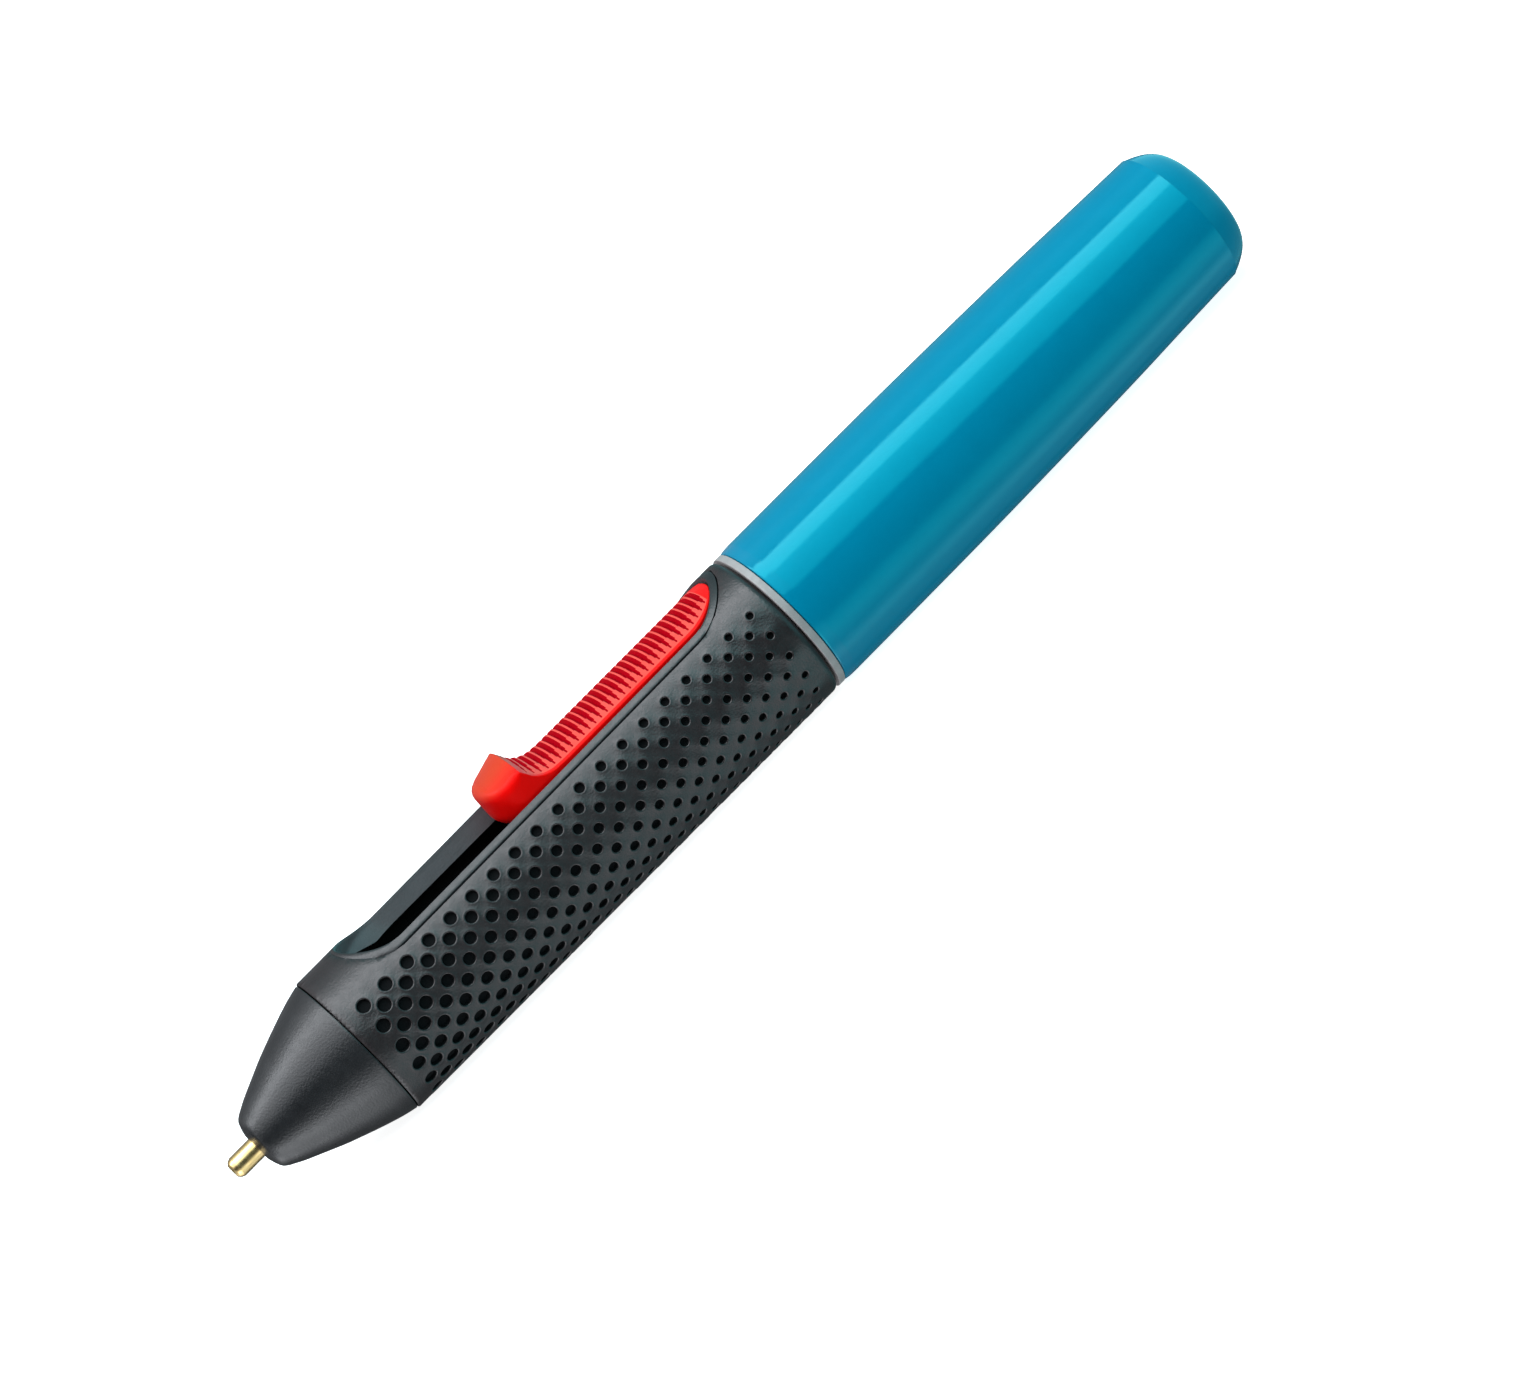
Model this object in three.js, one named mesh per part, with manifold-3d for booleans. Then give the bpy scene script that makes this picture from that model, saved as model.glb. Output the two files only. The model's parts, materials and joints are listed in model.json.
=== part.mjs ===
// A cordless hot-melt glue pen: a slim round tool, laid flat on its underside.
//
// Millimetres. Every station below is measured from the nozzle tip along the pen's axis (X), and every
// height from that axis (Z up, thumb slider on top). The whole pen is then moved so that the frame's
// origin is the middle of the rest plane, below the pen: nozzle towards -X, battery cap towards +X.

import * as THREE from 'three';
import { mergeVertices } from 'three/addons/utils/BufferGeometryUtils.js';
import Module from 'manifold-3d';

const wasm = await Module();
wasm.setup();

// ---- driving dimensions -------------------------------------------------------------------------------

const LENGTH = 196.5;          // nozzle tip to the flat end of the battery cap
const REST_DROP = 12.0;        // the flat along the underside lies this far below the axis
const GAP = 0.3;               // clearance left between separate pieces
const ROUND = 44;              // sides of a large turned piece
const SMALL_ROUND = 16;        // sides of a small turned piece

const STICK_R = 3.5;           // a standard 7 mm glue stick
const CELL_R = 7.25;           // a standard AA cell, without its label's play
const CELL_BODY = 49.3;        // its can, without the positive nub
const NUB_LENGTH = 1.2;
const CELL_PITCH = 50.8;       // one cell plus the room between two of them

const CONE_END = 24.2;         // seam between the nozzle cone and the grip
const GRIP_START = 24.6;
const GRIP_END = 108.2;
const GRIP_FRONT_R = 12.11;
const GRIP_REAR_R = 12.49;
const SHELL_R = 11.2;          // inside of the soft grip sleeve
const HOUSING_R = 10.9;        // outside of the hard housing under it
const HOUSING_BORE_R = 9.3;
const SPIGOT_R = 10.6;         // the housing's rear end, which the battery cap slips over
const SPIGOT_END = 118;

// Plan outlines: [front, rear, half width, reach of the rounded front, reach of the rounded rear].
const SLOT_TOP = [31.4, 105.0, 7.5, 7.8, 7.9];        // the loading slot at the grip's surface
const SLOT_BOTTOM = [32.4, 104.2, 6.7, 8.2, 7.2];     // and at the foot of its sloping walls
const FRAME = [30.8, 106.5, 8.6, 7.5, 9.6];           // the hard frame round the slot
const SLOPE_TOP = 9.3;         // the slot's walls slope inwards below this height
const FRAME_INNER_R = 9.6;     // the inside of the frame follows the grip at this radius
const SKIRT_FLOOR = 6.86;      // and nothing of the frame is lower than this
const RAIL_TOP = 4.6;          // the housing's edges that the slider's feet run along
const RAIL_HALF = 8.9;

const SLIDER_FRONT = 60.1;
const SLIDER_REAR = 104.7;
const NOSE_UNDERCUT = 2.2;     // how far the foot of the nose lies behind its front
const NOSE_REACH = 3;          // plan rounding of the nose's front
const SLIDER_HALF = SLOT_TOP[2] - GAP;
const SLIDER_LOW_HALF = SLOT_BOTTOM[2] - GAP;

const TROUGH_R = STICK_R + 0.4;
const TROUGH_END = 84;
const BARREL_END = 33;
const SLEEVE_START = 27;

const PCB_TOP = -5.8;
const PCB_BOTTOM = -7.2;
const PCB_FRONT = 40;
const PCB_REAR = 83;
const SCREW_PLACES = [[44, -3], [81, 3]];
const PANEL_FRONT = 60.3;      // the small control panel let into the underside
const PANEL_REAR = 83.7;
const PANEL_HALF = 3.3;
const BUTTON_X = 65;
const LED_X = 70.7;
const USB_X = 77.6;

const TUBE_START = 87;
const TUBE_END = 190;
const CELLS_START = 88.0;
const CAP_START = 109.7;

// ---- materials ----------------------------------------------------------------------------------------

function material(color, roughness, metalness = 0) {
  return new THREE.MeshStandardMaterial({ color, roughness, metalness });
}

const softGrey = material(0x45484c, 0.75);
const hardGrey = material(0x4d5054, 0.6);
const innerBlack = material(0x1d1e20, 0.7);
const red = material(0xe01818, 0.35);
const blue = material(0x0b8dae, 0.22);
const brass = material(0xcdb67d, 0.35, 1);
const aluminium = material(0xb9bcc0, 0.45, 1);
const steel = material(0xc4c6c8, 0.35, 1);
const silicone = material(0xc9c4b8, 0.6);
const ceramic = material(0xe8e4da, 0.5);
const greenBoard = material(0x1f5b3a, 0.5);
const cellWrap = material(0x2f7d4a, 0.4);
const clearAmber = material(0xe8dfc8, 0.2);
const wireRed = material(0xb02020, 0.5);

// ---- solids -------------------------------------------------------------------------------------------

/** A three.js geometry as a manifold solid, with its faces turned outwards. */
function solid(geometry) {
  const bare = geometry.clone();
  bare.deleteAttribute('normal');
  bare.deleteAttribute('uv');
  const merged = mergeVertices(bare, 1e-4);
  const corner = merged.index.array;
  const place = merged.attributes.position.array;
  const kept = [];
  let volume = 0;
  for (let i = 0; i < corner.length; i += 3) {
    const [a, b, c] = [corner[i], corner[i + 1], corner[i + 2]];
    if (a === b || b === c || a === c) continue;
    kept.push(a, b, c);
    const [ax, ay, az] = place.slice(3 * a, 3 * a + 3);
    const [bx, by, bz] = place.slice(3 * b, 3 * b + 3);
    const [cx, cy, cz] = place.slice(3 * c, 3 * c + 3);
    volume += ax * (by * cz - bz * cy) + ay * (bz * cx - bx * cz) + az * (bx * cy - by * cx);
  }
  const triangles = new Uint32Array(kept);
  if (volume < 0) triangles.reverse();
  return new wasm.Manifold(new wasm.Mesh({
    numProp: 3,
    vertProperties: new Float32Array(place),
    triVerts: triangles,
  }));
}

/** Turns a closed outline of [station, radius] points about the pen's axis. */
function turned(outline, sides = ROUND) {
  const points = outline.map(([x, r]) => new THREE.Vector2(r, x));
  if (outline[0][1] > 0) points.push(points[0].clone());
  return solid(new THREE.LatheGeometry(points, sides).rotateZ(-Math.PI / 2));
}

/** A tube along the pen's axis. */
function tube(start, end, outer, inner, sides = ROUND) {
  return turned([[start, inner], [start, outer], [end, outer], [end, inner]], sides);
}

/** A plain round rod along the pen's axis, moved sideways and up if asked. */
function rod(start, end, radius, sides = SMALL_ROUND, y = 0, z = 0) {
  const rounded = new THREE.CylinderGeometry(radius, radius, end - start, sides);
  return solid(rounded.rotateZ(Math.PI / 2).translate((start + end) / 2, y, z));
}

/** An upright round post. */
function post(x, y, bottom, top, radius, sides = SMALL_ROUND) {
  const rounded = new THREE.CylinderGeometry(radius, radius, top - bottom, sides);
  return solid(rounded.rotateX(Math.PI / 2).translate(x, y, (bottom + top) / 2));
}

/** A block between two corners, the same width to both sides of the pen's middle plane. */
function block(x0, x1, half, z0, z1, y = 0) {
  const box = new THREE.BoxGeometry(x1 - x0, 2 * half, z1 - z0);
  return solid(box.translate((x0 + x1) / 2, y, (z0 + z1) / 2));
}

/** Stands a plan outline (X, Y) up between two heights. */
function upright(shape, bottom, top) {
  const raised = new THREE.ExtrudeGeometry(shape, { depth: top - bottom, bevelEnabled: false });
  return solid(raised.translate(0, 0, bottom));
}

/** Draws a side view outline (X, Z) out to both sides. */
function sideways(points, half) {
  const shape = new THREE.Shape(points.map(([x, z]) => new THREE.Vector2(x, z)));
  const drawn = new THREE.ExtrudeGeometry(shape, { depth: 2 * half, bevelEnabled: false });
  return solid(drawn.rotateX(Math.PI / 2).translate(0, half, 0));
}

/** A plan outline with straight sides and an elliptical end at each end, moved outwards by grow. */
function slotShape([front, rear, half, frontReach, rearReach], grow = 0) {
  const shape = new THREE.Shape();
  const [quarter, threeQuarters] = [Math.PI / 2, 1.5 * Math.PI];
  const side = half + grow;
  shape.absellipse(front + frontReach, 0, frontReach + grow, side, quarter, threeQuarters, false);
  shape.absellipse(rear - rearReach, 0, rearReach + grow, side, threeQuarters, quarter + 2 * Math.PI, false);
  return new THREE.Shape(shape.getPoints(9));
}

/** A solid that runs straight from a low plan outline to a higher one, and upright above that. */
function flared(lowShape, low, highShape, high, top) {
  const thin = 0.01;
  const lowSlice = upright(lowShape, low, low + thin);
  const highSlice = upright(highShape, high - thin, high);
  return wasm.Manifold.hull([lowSlice, highSlice]).add(upright(highShape, high - thin, top));
}

/** A round wire along a smooth route. */
function wire(route, radius, steps, sides = 6) {
  const ring = new THREE.Shape();
  ring.absarc(0, 0, radius, 0, 2 * Math.PI, false);
  const section = new THREE.Shape(ring.getPoints(sides).slice(0, sides));
  const path = new THREE.CatmullRomCurve3(route.map((p) => new THREE.Vector3(...p)));
  return new THREE.ExtrudeGeometry(section, { steps, extrudePath: path, bevelEnabled: false });
}

const belowRest = block(-10, LENGTH + 10, 20, -20, -REST_DROP);

function gripRadius(x) {
  const share = THREE.MathUtils.clamp((x - 28) / (107 - 28), 0, 1);
  return THREE.MathUtils.lerp(GRIP_FRONT_R, GRIP_REAR_R, share);
}

// ---- the pen, as a scene graph ------------------------------------------------------------------------

const pen = new THREE.Group();
pen.position.set(-LENGTH / 2, 0, REST_DROP);

function addGeometry(name, geometry, look) {
  const mesh = new THREE.Mesh(geometry, look);
  mesh.name = name;
  pen.add(mesh);
}

function add(name, shape, look) {
  const result = shape.getMesh();
  const geometry = new THREE.BufferGeometry();
  geometry.setAttribute('position', new THREE.BufferAttribute(new Float32Array(result.vertProperties), 3));
  geometry.setIndex(new THREE.BufferAttribute(new Uint32Array(result.triVerts), 1));
  geometry.computeVertexNormals();
  addGeometry(name, geometry, look);
}

// ---- hot end ------------------------------------------------------------------------------------------

const NOZZLE_R = 1.68;
const NOZZLE_BORE_R = 0.7;
const NOZZLE_SHOULDER = 8.0;   // a flange behind the cone's front wall
const NOZZLE_FLANGE_R = 3.2;
const NOZZLE_FLANGE_END = 10;
const NOZZLE_SHANK_R = 2.4;    // and a shank that sits in the melt barrel
const NOZZLE_END = 14;

const nozzleOutside = [
  [0, NOZZLE_BORE_R], [0, 0.9], [0.15, 1.2], [0.35, 1.42], [0.7, 1.6], [1.1, NOZZLE_R],
  [NOZZLE_SHOULDER, NOZZLE_R], [NOZZLE_SHOULDER, NOZZLE_FLANGE_R], [NOZZLE_FLANGE_END, NOZZLE_FLANGE_R],
  [NOZZLE_FLANGE_END, NOZZLE_SHANK_R], [NOZZLE_END, NOZZLE_SHANK_R],
];
const nozzleBore = [[NOZZLE_END, 1.6], [6, 1.4], [5, NOZZLE_BORE_R]];
add('nozzle_tip', turned([...nozzleOutside, ...nozzleBore], 24), brass);

const CONE_HOLE_R = NOZZLE_R + GAP;
const CONE_SPIGOT_R = 9.0;
const CONE_SPIGOT_END = 29;
const coneOutside = [
  [4.7, CONE_HOLE_R], [4.75, 2.5], [5.0, 3.4], [5.4, 4.35], [6.0, 4.87], [8.26, 6.09], [11.02, 7.31],
  [13.78, 8.5], [16.55, 9.54], [19.32, 10.52], [22.09, 11.4], [CONE_END, 11.85],
];
const coneInside = [
  [CONE_END, CONE_SPIGOT_R], [CONE_SPIGOT_END, CONE_SPIGOT_R], [CONE_SPIGOT_END, 8.3], [23, 8.3],
  [20, 9.0], [16.5, 8.2], [11, 5.9], [8.3, 4.6], [7.2, 3.9], [7.2, CONE_HOLE_R],
];
add('nozzle_cone', turned([...coneOutside, ...coneInside]), hardGrey);

const BARREL_R = 5.0;
const BARREL_NOSE_R = 4.2;
const BARREL_NOSE_END = 14.8;
const BARREL_SOCKET_R = NOZZLE_SHANK_R + GAP;
const STICK_BORE_R = STICK_R + 0.1;
const MELT_BORE_R = 2.0;
add('melt_barrel', turned([
  [NOZZLE_FLANGE_END + GAP, BARREL_SOCKET_R], [NOZZLE_FLANGE_END + GAP, BARREL_NOSE_R],
  [BARREL_NOSE_END, BARREL_NOSE_R], [BARREL_NOSE_END, BARREL_R], [BARREL_END, BARREL_R],
  [BARREL_END, STICK_BORE_R], [20, STICK_BORE_R], [16, MELT_BORE_R], [NOZZLE_END + 0.4, MELT_BORE_R],
  [NOZZLE_END + 0.4, BARREL_SOCKET_R],
], 24), aluminium);

const SLEEVE_END = 36;
const SLEEVE_R = 6.5;
const inletSleeve = turned([
  [SLEEVE_START, BARREL_R + GAP], [SLEEVE_START, SLEEVE_R], [SLEEVE_END, SLEEVE_R], [SLEEVE_END, 4.4],
  [BARREL_END + GAP, STICK_BORE_R + 0.1], [BARREL_END + GAP, BARREL_R + GAP],
], 24);
add('inlet_sleeve', inletSleeve, silicone);

const HEATER_FRONT = 16;
const HEATER_REAR = 26;
const HEATER_HALF = 2.6;
const HEATER_BOTTOM = -6.9;
add('ptc_heater', block(HEATER_FRONT, HEATER_REAR, HEATER_HALF, HEATER_BOTTOM, -BARREL_R - GAP), ceramic);

const CLIP_FRONT = 17;         // a spring clip of sheet metal that presses the heater to the barrel
const CLIP_REAR = 23;
const CLIP_SHEET = 0.5;
const LEG_HALF = HEATER_HALF + GAP;
const LEG_SHEET = 0.4;
const LEG_TOP = -4.2;
const barrelRoom = rod(CLIP_FRONT - 1, CLIP_REAR + 1, BARREL_R + GAP, 24);
const legRoom = block(CLIP_FRONT - 1, CLIP_REAR + 1, LEG_HALF, HEATER_BOTTOM - GAP, LEG_TOP + 0.2);
const clipRing = tube(CLIP_FRONT, CLIP_REAR, BARREL_R + GAP + CLIP_SHEET, BARREL_R + GAP, 24)
  .subtract(block(CLIP_FRONT - 1, CLIP_REAR + 1, 7, -7, LEG_TOP - 0.1));
const clipLegs = block(CLIP_FRONT, CLIP_REAR, LEG_HALF + LEG_SHEET, HEATER_BOTTOM - GAP - LEG_SHEET, LEG_TOP)
  .subtract(legRoom);
add('heater_clip', clipRing.add(clipLegs.subtract(barrelRoom)), steel);

const FUSE_R = 0.9;
const FUSE_SIDE = -7.1;        // it lies beside the barrel
add('thermal_fuse', rod(CLIP_FRONT, HEATER_REAR - 1, FUSE_R, 12, FUSE_SIDE, 0), steel);

for (const [index, side] of [-1, 1].entries()) {
  const y = 1.5 * side;
  addGeometry(`heater_lead_${index + 1}`, wire([
    [26.4, y, -6.3], [28.2, y, -7.25], [33, y, -7.4], [37, y, -7.4], [39.6, y, -6.9],
  ], 0.4, 10), wireRed);
}

// ---- housing halves -----------------------------------------------------------------------------------

const housingShell = turned([
  [24.8, HOUSING_BORE_R], [24.8, HOUSING_R], [GRIP_END, HOUSING_R], [GRIP_END, SPIGOT_R], [111.8, SPIGOT_R],
  [111.8, 9.75], [114.2, 9.75], [114.2, SPIGOT_R], [SPIGOT_END, SPIGOT_R], [SPIGOT_END, HOUSING_BORE_R],
]);
const bulkhead = tube(29.6, 31.4, 9.5, 6.9, 32);
const troughSlab = block(31.2, TROUGH_END, 9.4, -5.4, -1).intersect(rod(30, 90, 9.5, 32));
const partition = rod(TROUGH_END - 0.1, 85.6, 9.5, 32);
const housingRooms = [
  rod(31.3, TROUGH_END, TROUGH_R, 24),
  rod(29, 36.4, 6.9, 24),
  block(29, 36.5, 2.4, -8.4, -6.2),
  block(FRAME[0] - GAP, FRAME[1] + GAP, RAIL_HALF, RAIL_TOP, 14),
  block(PANEL_FRONT - GAP, PANEL_REAR + GAP, 5.2, -12, -8),
  block(83.8, 85.7, 2.6, -8.6, -3.9),
  ...SCREW_PLACES.map(([x, y]) => post(x, y, -6, -3.3, 0.9, 12)),
];
const housing = housingRooms.reduce(
  (whole, room) => whole.subtract(room),
  housingShell.add(bulkhead).add(troughSlab).add(partition),
);
const leftSide = block(0, LENGTH, 10, -20, 20, -10 - GAP / 2);
const rightSide = block(0, LENGTH, 10, -20, 20, 10 + GAP / 2);
add('housing_left', housing.intersect(leftSide), innerBlack);
add('housing_right', housing.intersect(rightSide), innerBlack);

// ---- grip sleeve and the frame round the slot ---------------------------------------------------------

const gripOutside = [
  [GRIP_START, gripRadius(28) - 0.15], [GRIP_START + 0.2, gripRadius(28)], [28, gripRadius(28)],
  [107.2, gripRadius(107)], [107.9, gripRadius(107) - 0.3], [GRIP_END, gripRadius(107) - 0.9],
];
const gripSolid = turned([...gripOutside, [GRIP_END, 0], [GRIP_START, 0]]);
const gripBore = rod(20, 112, SHELL_R, ROUND);
const frameOutline = upright(slotShape(FRAME), 1, 16);
const frameRoom = upright(slotShape(FRAME, GAP), 1, 16);
const panelRoom = block(PANEL_FRONT - GAP, PANEL_REAR + GAP, PANEL_HALF + GAP, -14, -8);
const sleeve = gripSolid.subtract(gripBore).subtract(frameRoom).subtract(panelRoom).subtract(belowRest);
add('grip_sleeve', sleeve, softGrey);

const slotRoom = flared(slotShape(SLOT_BOTTOM), SKIRT_FLOOR - 0.1, slotShape(SLOT_TOP), SLOPE_TOP, 16);
const skirt = upright(slotShape(FRAME), SKIRT_FLOOR, 16)
  .intersect(rod(20, 112, SHELL_R + 0.05, ROUND))
  .subtract(rod(20, 112, FRAME_INNER_R, ROUND));
const frameTop = gripSolid.subtract(gripBore).intersect(frameOutline);
const aboveSkirt = block(20, 112, 20, SKIRT_FLOOR, 20);
const tubeRoom = rod(TUBE_START - 1, 112, 8.3 + GAP, 32);
add('slot_frame', frameTop.add(skirt).subtract(slotRoom).intersect(aboveSkirt).subtract(tubeRoom), hardGrey);

// ---- thumb slider and what it carries -----------------------------------------------------------------

const PAD_CROWN_R = 16;        // the ribbed pad is crowned across, flush with the grip at its ends
const PAD_TOP = 11.85;
const NOSE_CROWN_R = 12;
const NOSE_TOP = 15.95;
const noseProfile = [
  [SLIDER_FRONT, 7.6], [SLIDER_FRONT, 13.3], [62.8, 14.5], [64.85, 15.3], [66.9, NOSE_TOP],
  [67.2, 15.2], [67.9, 14.0], [68.9, 12.95], [70.1, 12.2], [72.9, PAD_TOP], [76, PAD_TOP - 0.4], [76, 7.6],
];
const PAD_FLOOR = 7.6;
const HOLLOW_HALF = 5.5;
const padFoot = slotShape([
  SLIDER_FRONT + NOSE_UNDERCUT, SLOT_BOTTOM[1] - GAP, SLIDER_LOW_HALF, NOSE_REACH, SLOT_BOTTOM[4],
]);
const padTop = slotShape([SLIDER_FRONT, SLIDER_REAR, SLIDER_HALF, NOSE_REACH, SLOT_TOP[4] - 0.1]);
const abovePadFloor = block(50, 110, 10, PAD_FLOOR, 20);
const padPlan = flared(padFoot, SKIRT_FLOOR, padTop, SLOPE_TOP, 20).intersect(abovePadFloor);
const pad = rod(61, 106, PAD_CROWN_R, 60, 0, PAD_TOP - PAD_CROWN_R).intersect(padPlan);
const nose = sideways(noseProfile, SLIDER_HALF + 1)
  .intersect(rod(59, 77, NOSE_CROWN_R, 48, 0, NOSE_TOP - NOSE_CROWN_R))
  .intersect(padPlan);
const padHollow = upright(slotShape([70, 102.5, HOLLOW_HALF, 2, 6]), 5, 20)
  .intersect(rod(69, 104, 14.2, 48, 0, PAD_TOP - PAD_CROWN_R));
const footWall = block(62, 86, 6.3, 5, 8).subtract(block(61, 87, HOLLOW_HALF, 4, PAD_FLOOR));
const foot = block(62, 86, RAIL_HALF - GAP, 5, 6.5).subtract(block(61, 87, HOLLOW_HALF, 4, PAD_FLOOR + 0.1));
const screwHole = post(66, 0, 3, 11, 1.1, 12);
const slider = pad.add(nose).subtract(padHollow).add(footWall).add(foot);
add('slider', slider.subtract(screwHole).subtract(tubeRoom), red);

const PUSHER_FRONT = 62.3;
const pusherWeb = block(63, 68.7, 2.6, -2.5, 7.3);
const pusherDisc = rod(PUSHER_FRONT, 63.3, 3.2, 20);
const screwBore = post(66, 0, 3.5, 8, 1.1, 12).add(post(66, 0, -3, 4, 1.8, 12));
add('pusher', pusherWeb.add(pusherDisc).subtract(screwBore), innerBlack);
add('pusher_pad', rod(61.4, PUSHER_FRONT - GAP, 3.2, 20), silicone);
add('pusher_screw', post(66, 0, 2.5, 3.7, 1.5, 12).add(post(66, 0, 3.6, 10.4, 0.8, 12)), steel);

// ---- control board and controls, on the underside -----------------------------------------------------

const board = SCREW_PLACES.reduce(
  (whole, [x, y]) => whole.subtract(post(x, y, -8, -5, 0.9, 12)),
  block(PCB_FRONT, PCB_REAR, 5.5, PCB_BOTTOM, PCB_TOP),
);
add('control_board', board, greenBoard);
SCREW_PLACES.forEach(([x, y], index) => {
  const head = post(x, y, -8.0, PCB_BOTTOM - GAP, 1.2, 12);
  const shank = post(x, y, -7.8, -3.6, 0.6, 12);
  add(`board_screw_${index + 1}`, head.add(shank), steel);
});

const PART_TOP = PCB_BOTTOM - GAP;
const switchBody = block(BUTTON_X - 2.2, BUTTON_X + 2.2, 2.2, -8.5, PART_TOP);
add('tact_switch', switchBody.add(post(BUTTON_X, 0, -8.9, -8.4, 0.9, 12)), steel);

const USB_LONG = 3.75;          // half sizes of the charging socket's shell
const USB_WIDE = 1.5;
const USB_WALL = 0.45;
const usbShell = block(USB_X - USB_LONG, USB_X + USB_LONG, USB_WIDE, -11.2, PART_TOP);
const mouthLong = USB_LONG - USB_WALL;
const usbMouth = block(USB_X - mouthLong, USB_X + mouthLong, USB_WIDE - USB_WALL, -12, -8.2);
const usbTongue = block(USB_X - 2.4, USB_X + 2.4, 0.3, -10.8, -8.1);
add('charging_socket', usbShell.subtract(usbMouth).add(usbTongue), steel);

add('status_led', block(LED_X - 0.8, LED_X + 0.8, 0.8, -8.3, PART_TOP), ceramic);
const lightPipe = post(LED_X, 0, -11.5, -8.7, 1, 12).add(post(LED_X, 0, -9.9, -9.2, 1.7, 12));
add('light_pipe', lightPipe, clearAmber);

const BUTTON_R = 2.3;
const buttonCap = post(BUTTON_X, 0, -11.45, -9.35, BUTTON_R, 20).add(post(BUTTON_X, 0, -9.9, -9.35, 3, 20));
add('power_button', buttonCap, red);

const panelHoles = [
  post(BUTTON_X, 0, -13, -9, BUTTON_R + GAP, 20),
  post(LED_X, 0, -13, -9, 1 + GAP, 12),
  block(USB_X - USB_LONG - GAP, USB_X + USB_LONG + GAP, USB_WIDE + GAP, -13, -9),
];
const panelPlate = block(PANEL_FRONT, PANEL_REAR, PANEL_HALF, -11.7, -10.2);
add('control_panel', panelHoles.reduce((whole, hole) => whole.subtract(hole), panelPlate), innerBlack);

// ---- battery end --------------------------------------------------------------------------------------

const trimRing = tube(GRIP_END + GAP, CAP_START - GAP, 12.5, SHELL_R - 0.3);
add('trim_ring', trimRing.subtract(belowRest), steel);

const ringPath = 10.35;
const ringSection = new THREE.TorusGeometry(ringPath, 0.35, 6, ROUND).rotateY(Math.PI / 2);
add('seal_ring', solid(ringSection.translate(113, 0, 0)), innerBlack);

add('battery_tube', tube(TUBE_START, TUBE_END, 8.3, CELL_R + 0.35, 32), innerBlack);

['battery_cell_front', 'battery_cell_rear'].forEach((name, index) => {
  const start = CELLS_START + index * CELL_PITCH;
  const nub = rod(start, start + NUB_LENGTH + 0.1, 2.75, 16);
  add(name, nub.add(rod(start + NUB_LENGTH, start + NUB_LENGTH + CELL_BODY, CELL_R, 32)), cellWrap);
});

const contactPlate = rod(85.9, 86.4, 3.5, 20);
const contactDome = turned([[86.3, 0], [86.3, 1.6], [87.2, 1.2], [87.6, 0]], 12);
add('front_contact', contactPlate.add(contactDome), steel);

add('return_strip', block(TUBE_START, 188.6, 2, -8.95, -8.65), steel);

addGeometry('battery_lead_positive', wire([
  [86.2, 1.4, -4.3], [85.4, 1.4, -5.0], [84.4, 1.4, -6.2], [83.4, 1.4, -6.5],
], 0.35, 8), wireRed);
addGeometry('battery_lead_negative', wire([
  [86.6, -1.4, -8.75], [85.6, -1.4, -8.0], [84.5, -1.4, -6.9], [83.4, -1.4, -6.6],
], 0.35, 8), innerBlack);

const capOutside = [
  [CAP_START, 11.0], [CAP_START, 12.3], [CAP_START + 0.2, 12.46], [112.6, 12.66], [127, 12.66], [141, 12.6],
  [156, 12.4],
  [170.6, 12.12], [179.5, 11.84], [186, 11.65], [190.6, 11.52], [191.4, 11.4], [192.6, 10.98], [194.1, 10.2],
  [195.1, 9.45], [195.8, 8.6], [196.25, 7.4], [LENGTH, 5.4],
];
const capInside = [[194.6, 0], [194.6, 9.1], [193, 9.6], [190, 10.1], [180, 10.4], [150, 10.9]];
const capSolid = turned([...capOutside, [LENGTH, 0], ...capInside]);
add('battery_cap', capSolid.subtract(belowRest), blue);

add('cap_contact', rod(193.9, 194.3, 6, 20).add(block(193.9, 194.3, 1.2, -8.95, -5))
  .add(block(189.0, 194.2, 1.2, -8.95, -8.65)), steel);

const SPRING_TURNS = 3;
const SPRING_START = 189.9;
const SPRING_END = 193.4;
const springRoute = [];
for (let i = 0; i <= 12 * SPRING_TURNS; i += 1) {
  const share = i / (12 * SPRING_TURNS);
  const turn = 2 * Math.PI * SPRING_TURNS * share;
  const radius = THREE.MathUtils.lerp(2.4, 4.8, share);
  const x = THREE.MathUtils.lerp(SPRING_START, SPRING_END, share);
  springRoute.push([x, radius * Math.cos(turn), radius * Math.sin(turn)]);
}
addGeometry('cell_spring', wire(springRoute, 0.3, 60), steel);

export default pen;
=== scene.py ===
"""Looks for the cordless glue pen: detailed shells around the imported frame, materials, light and camera."""

import bisect
import json
import math

import bmesh
import bpy
from mathutils import Matrix, Vector
from mathutils.geometry import delaunay_2d_cdt


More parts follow.
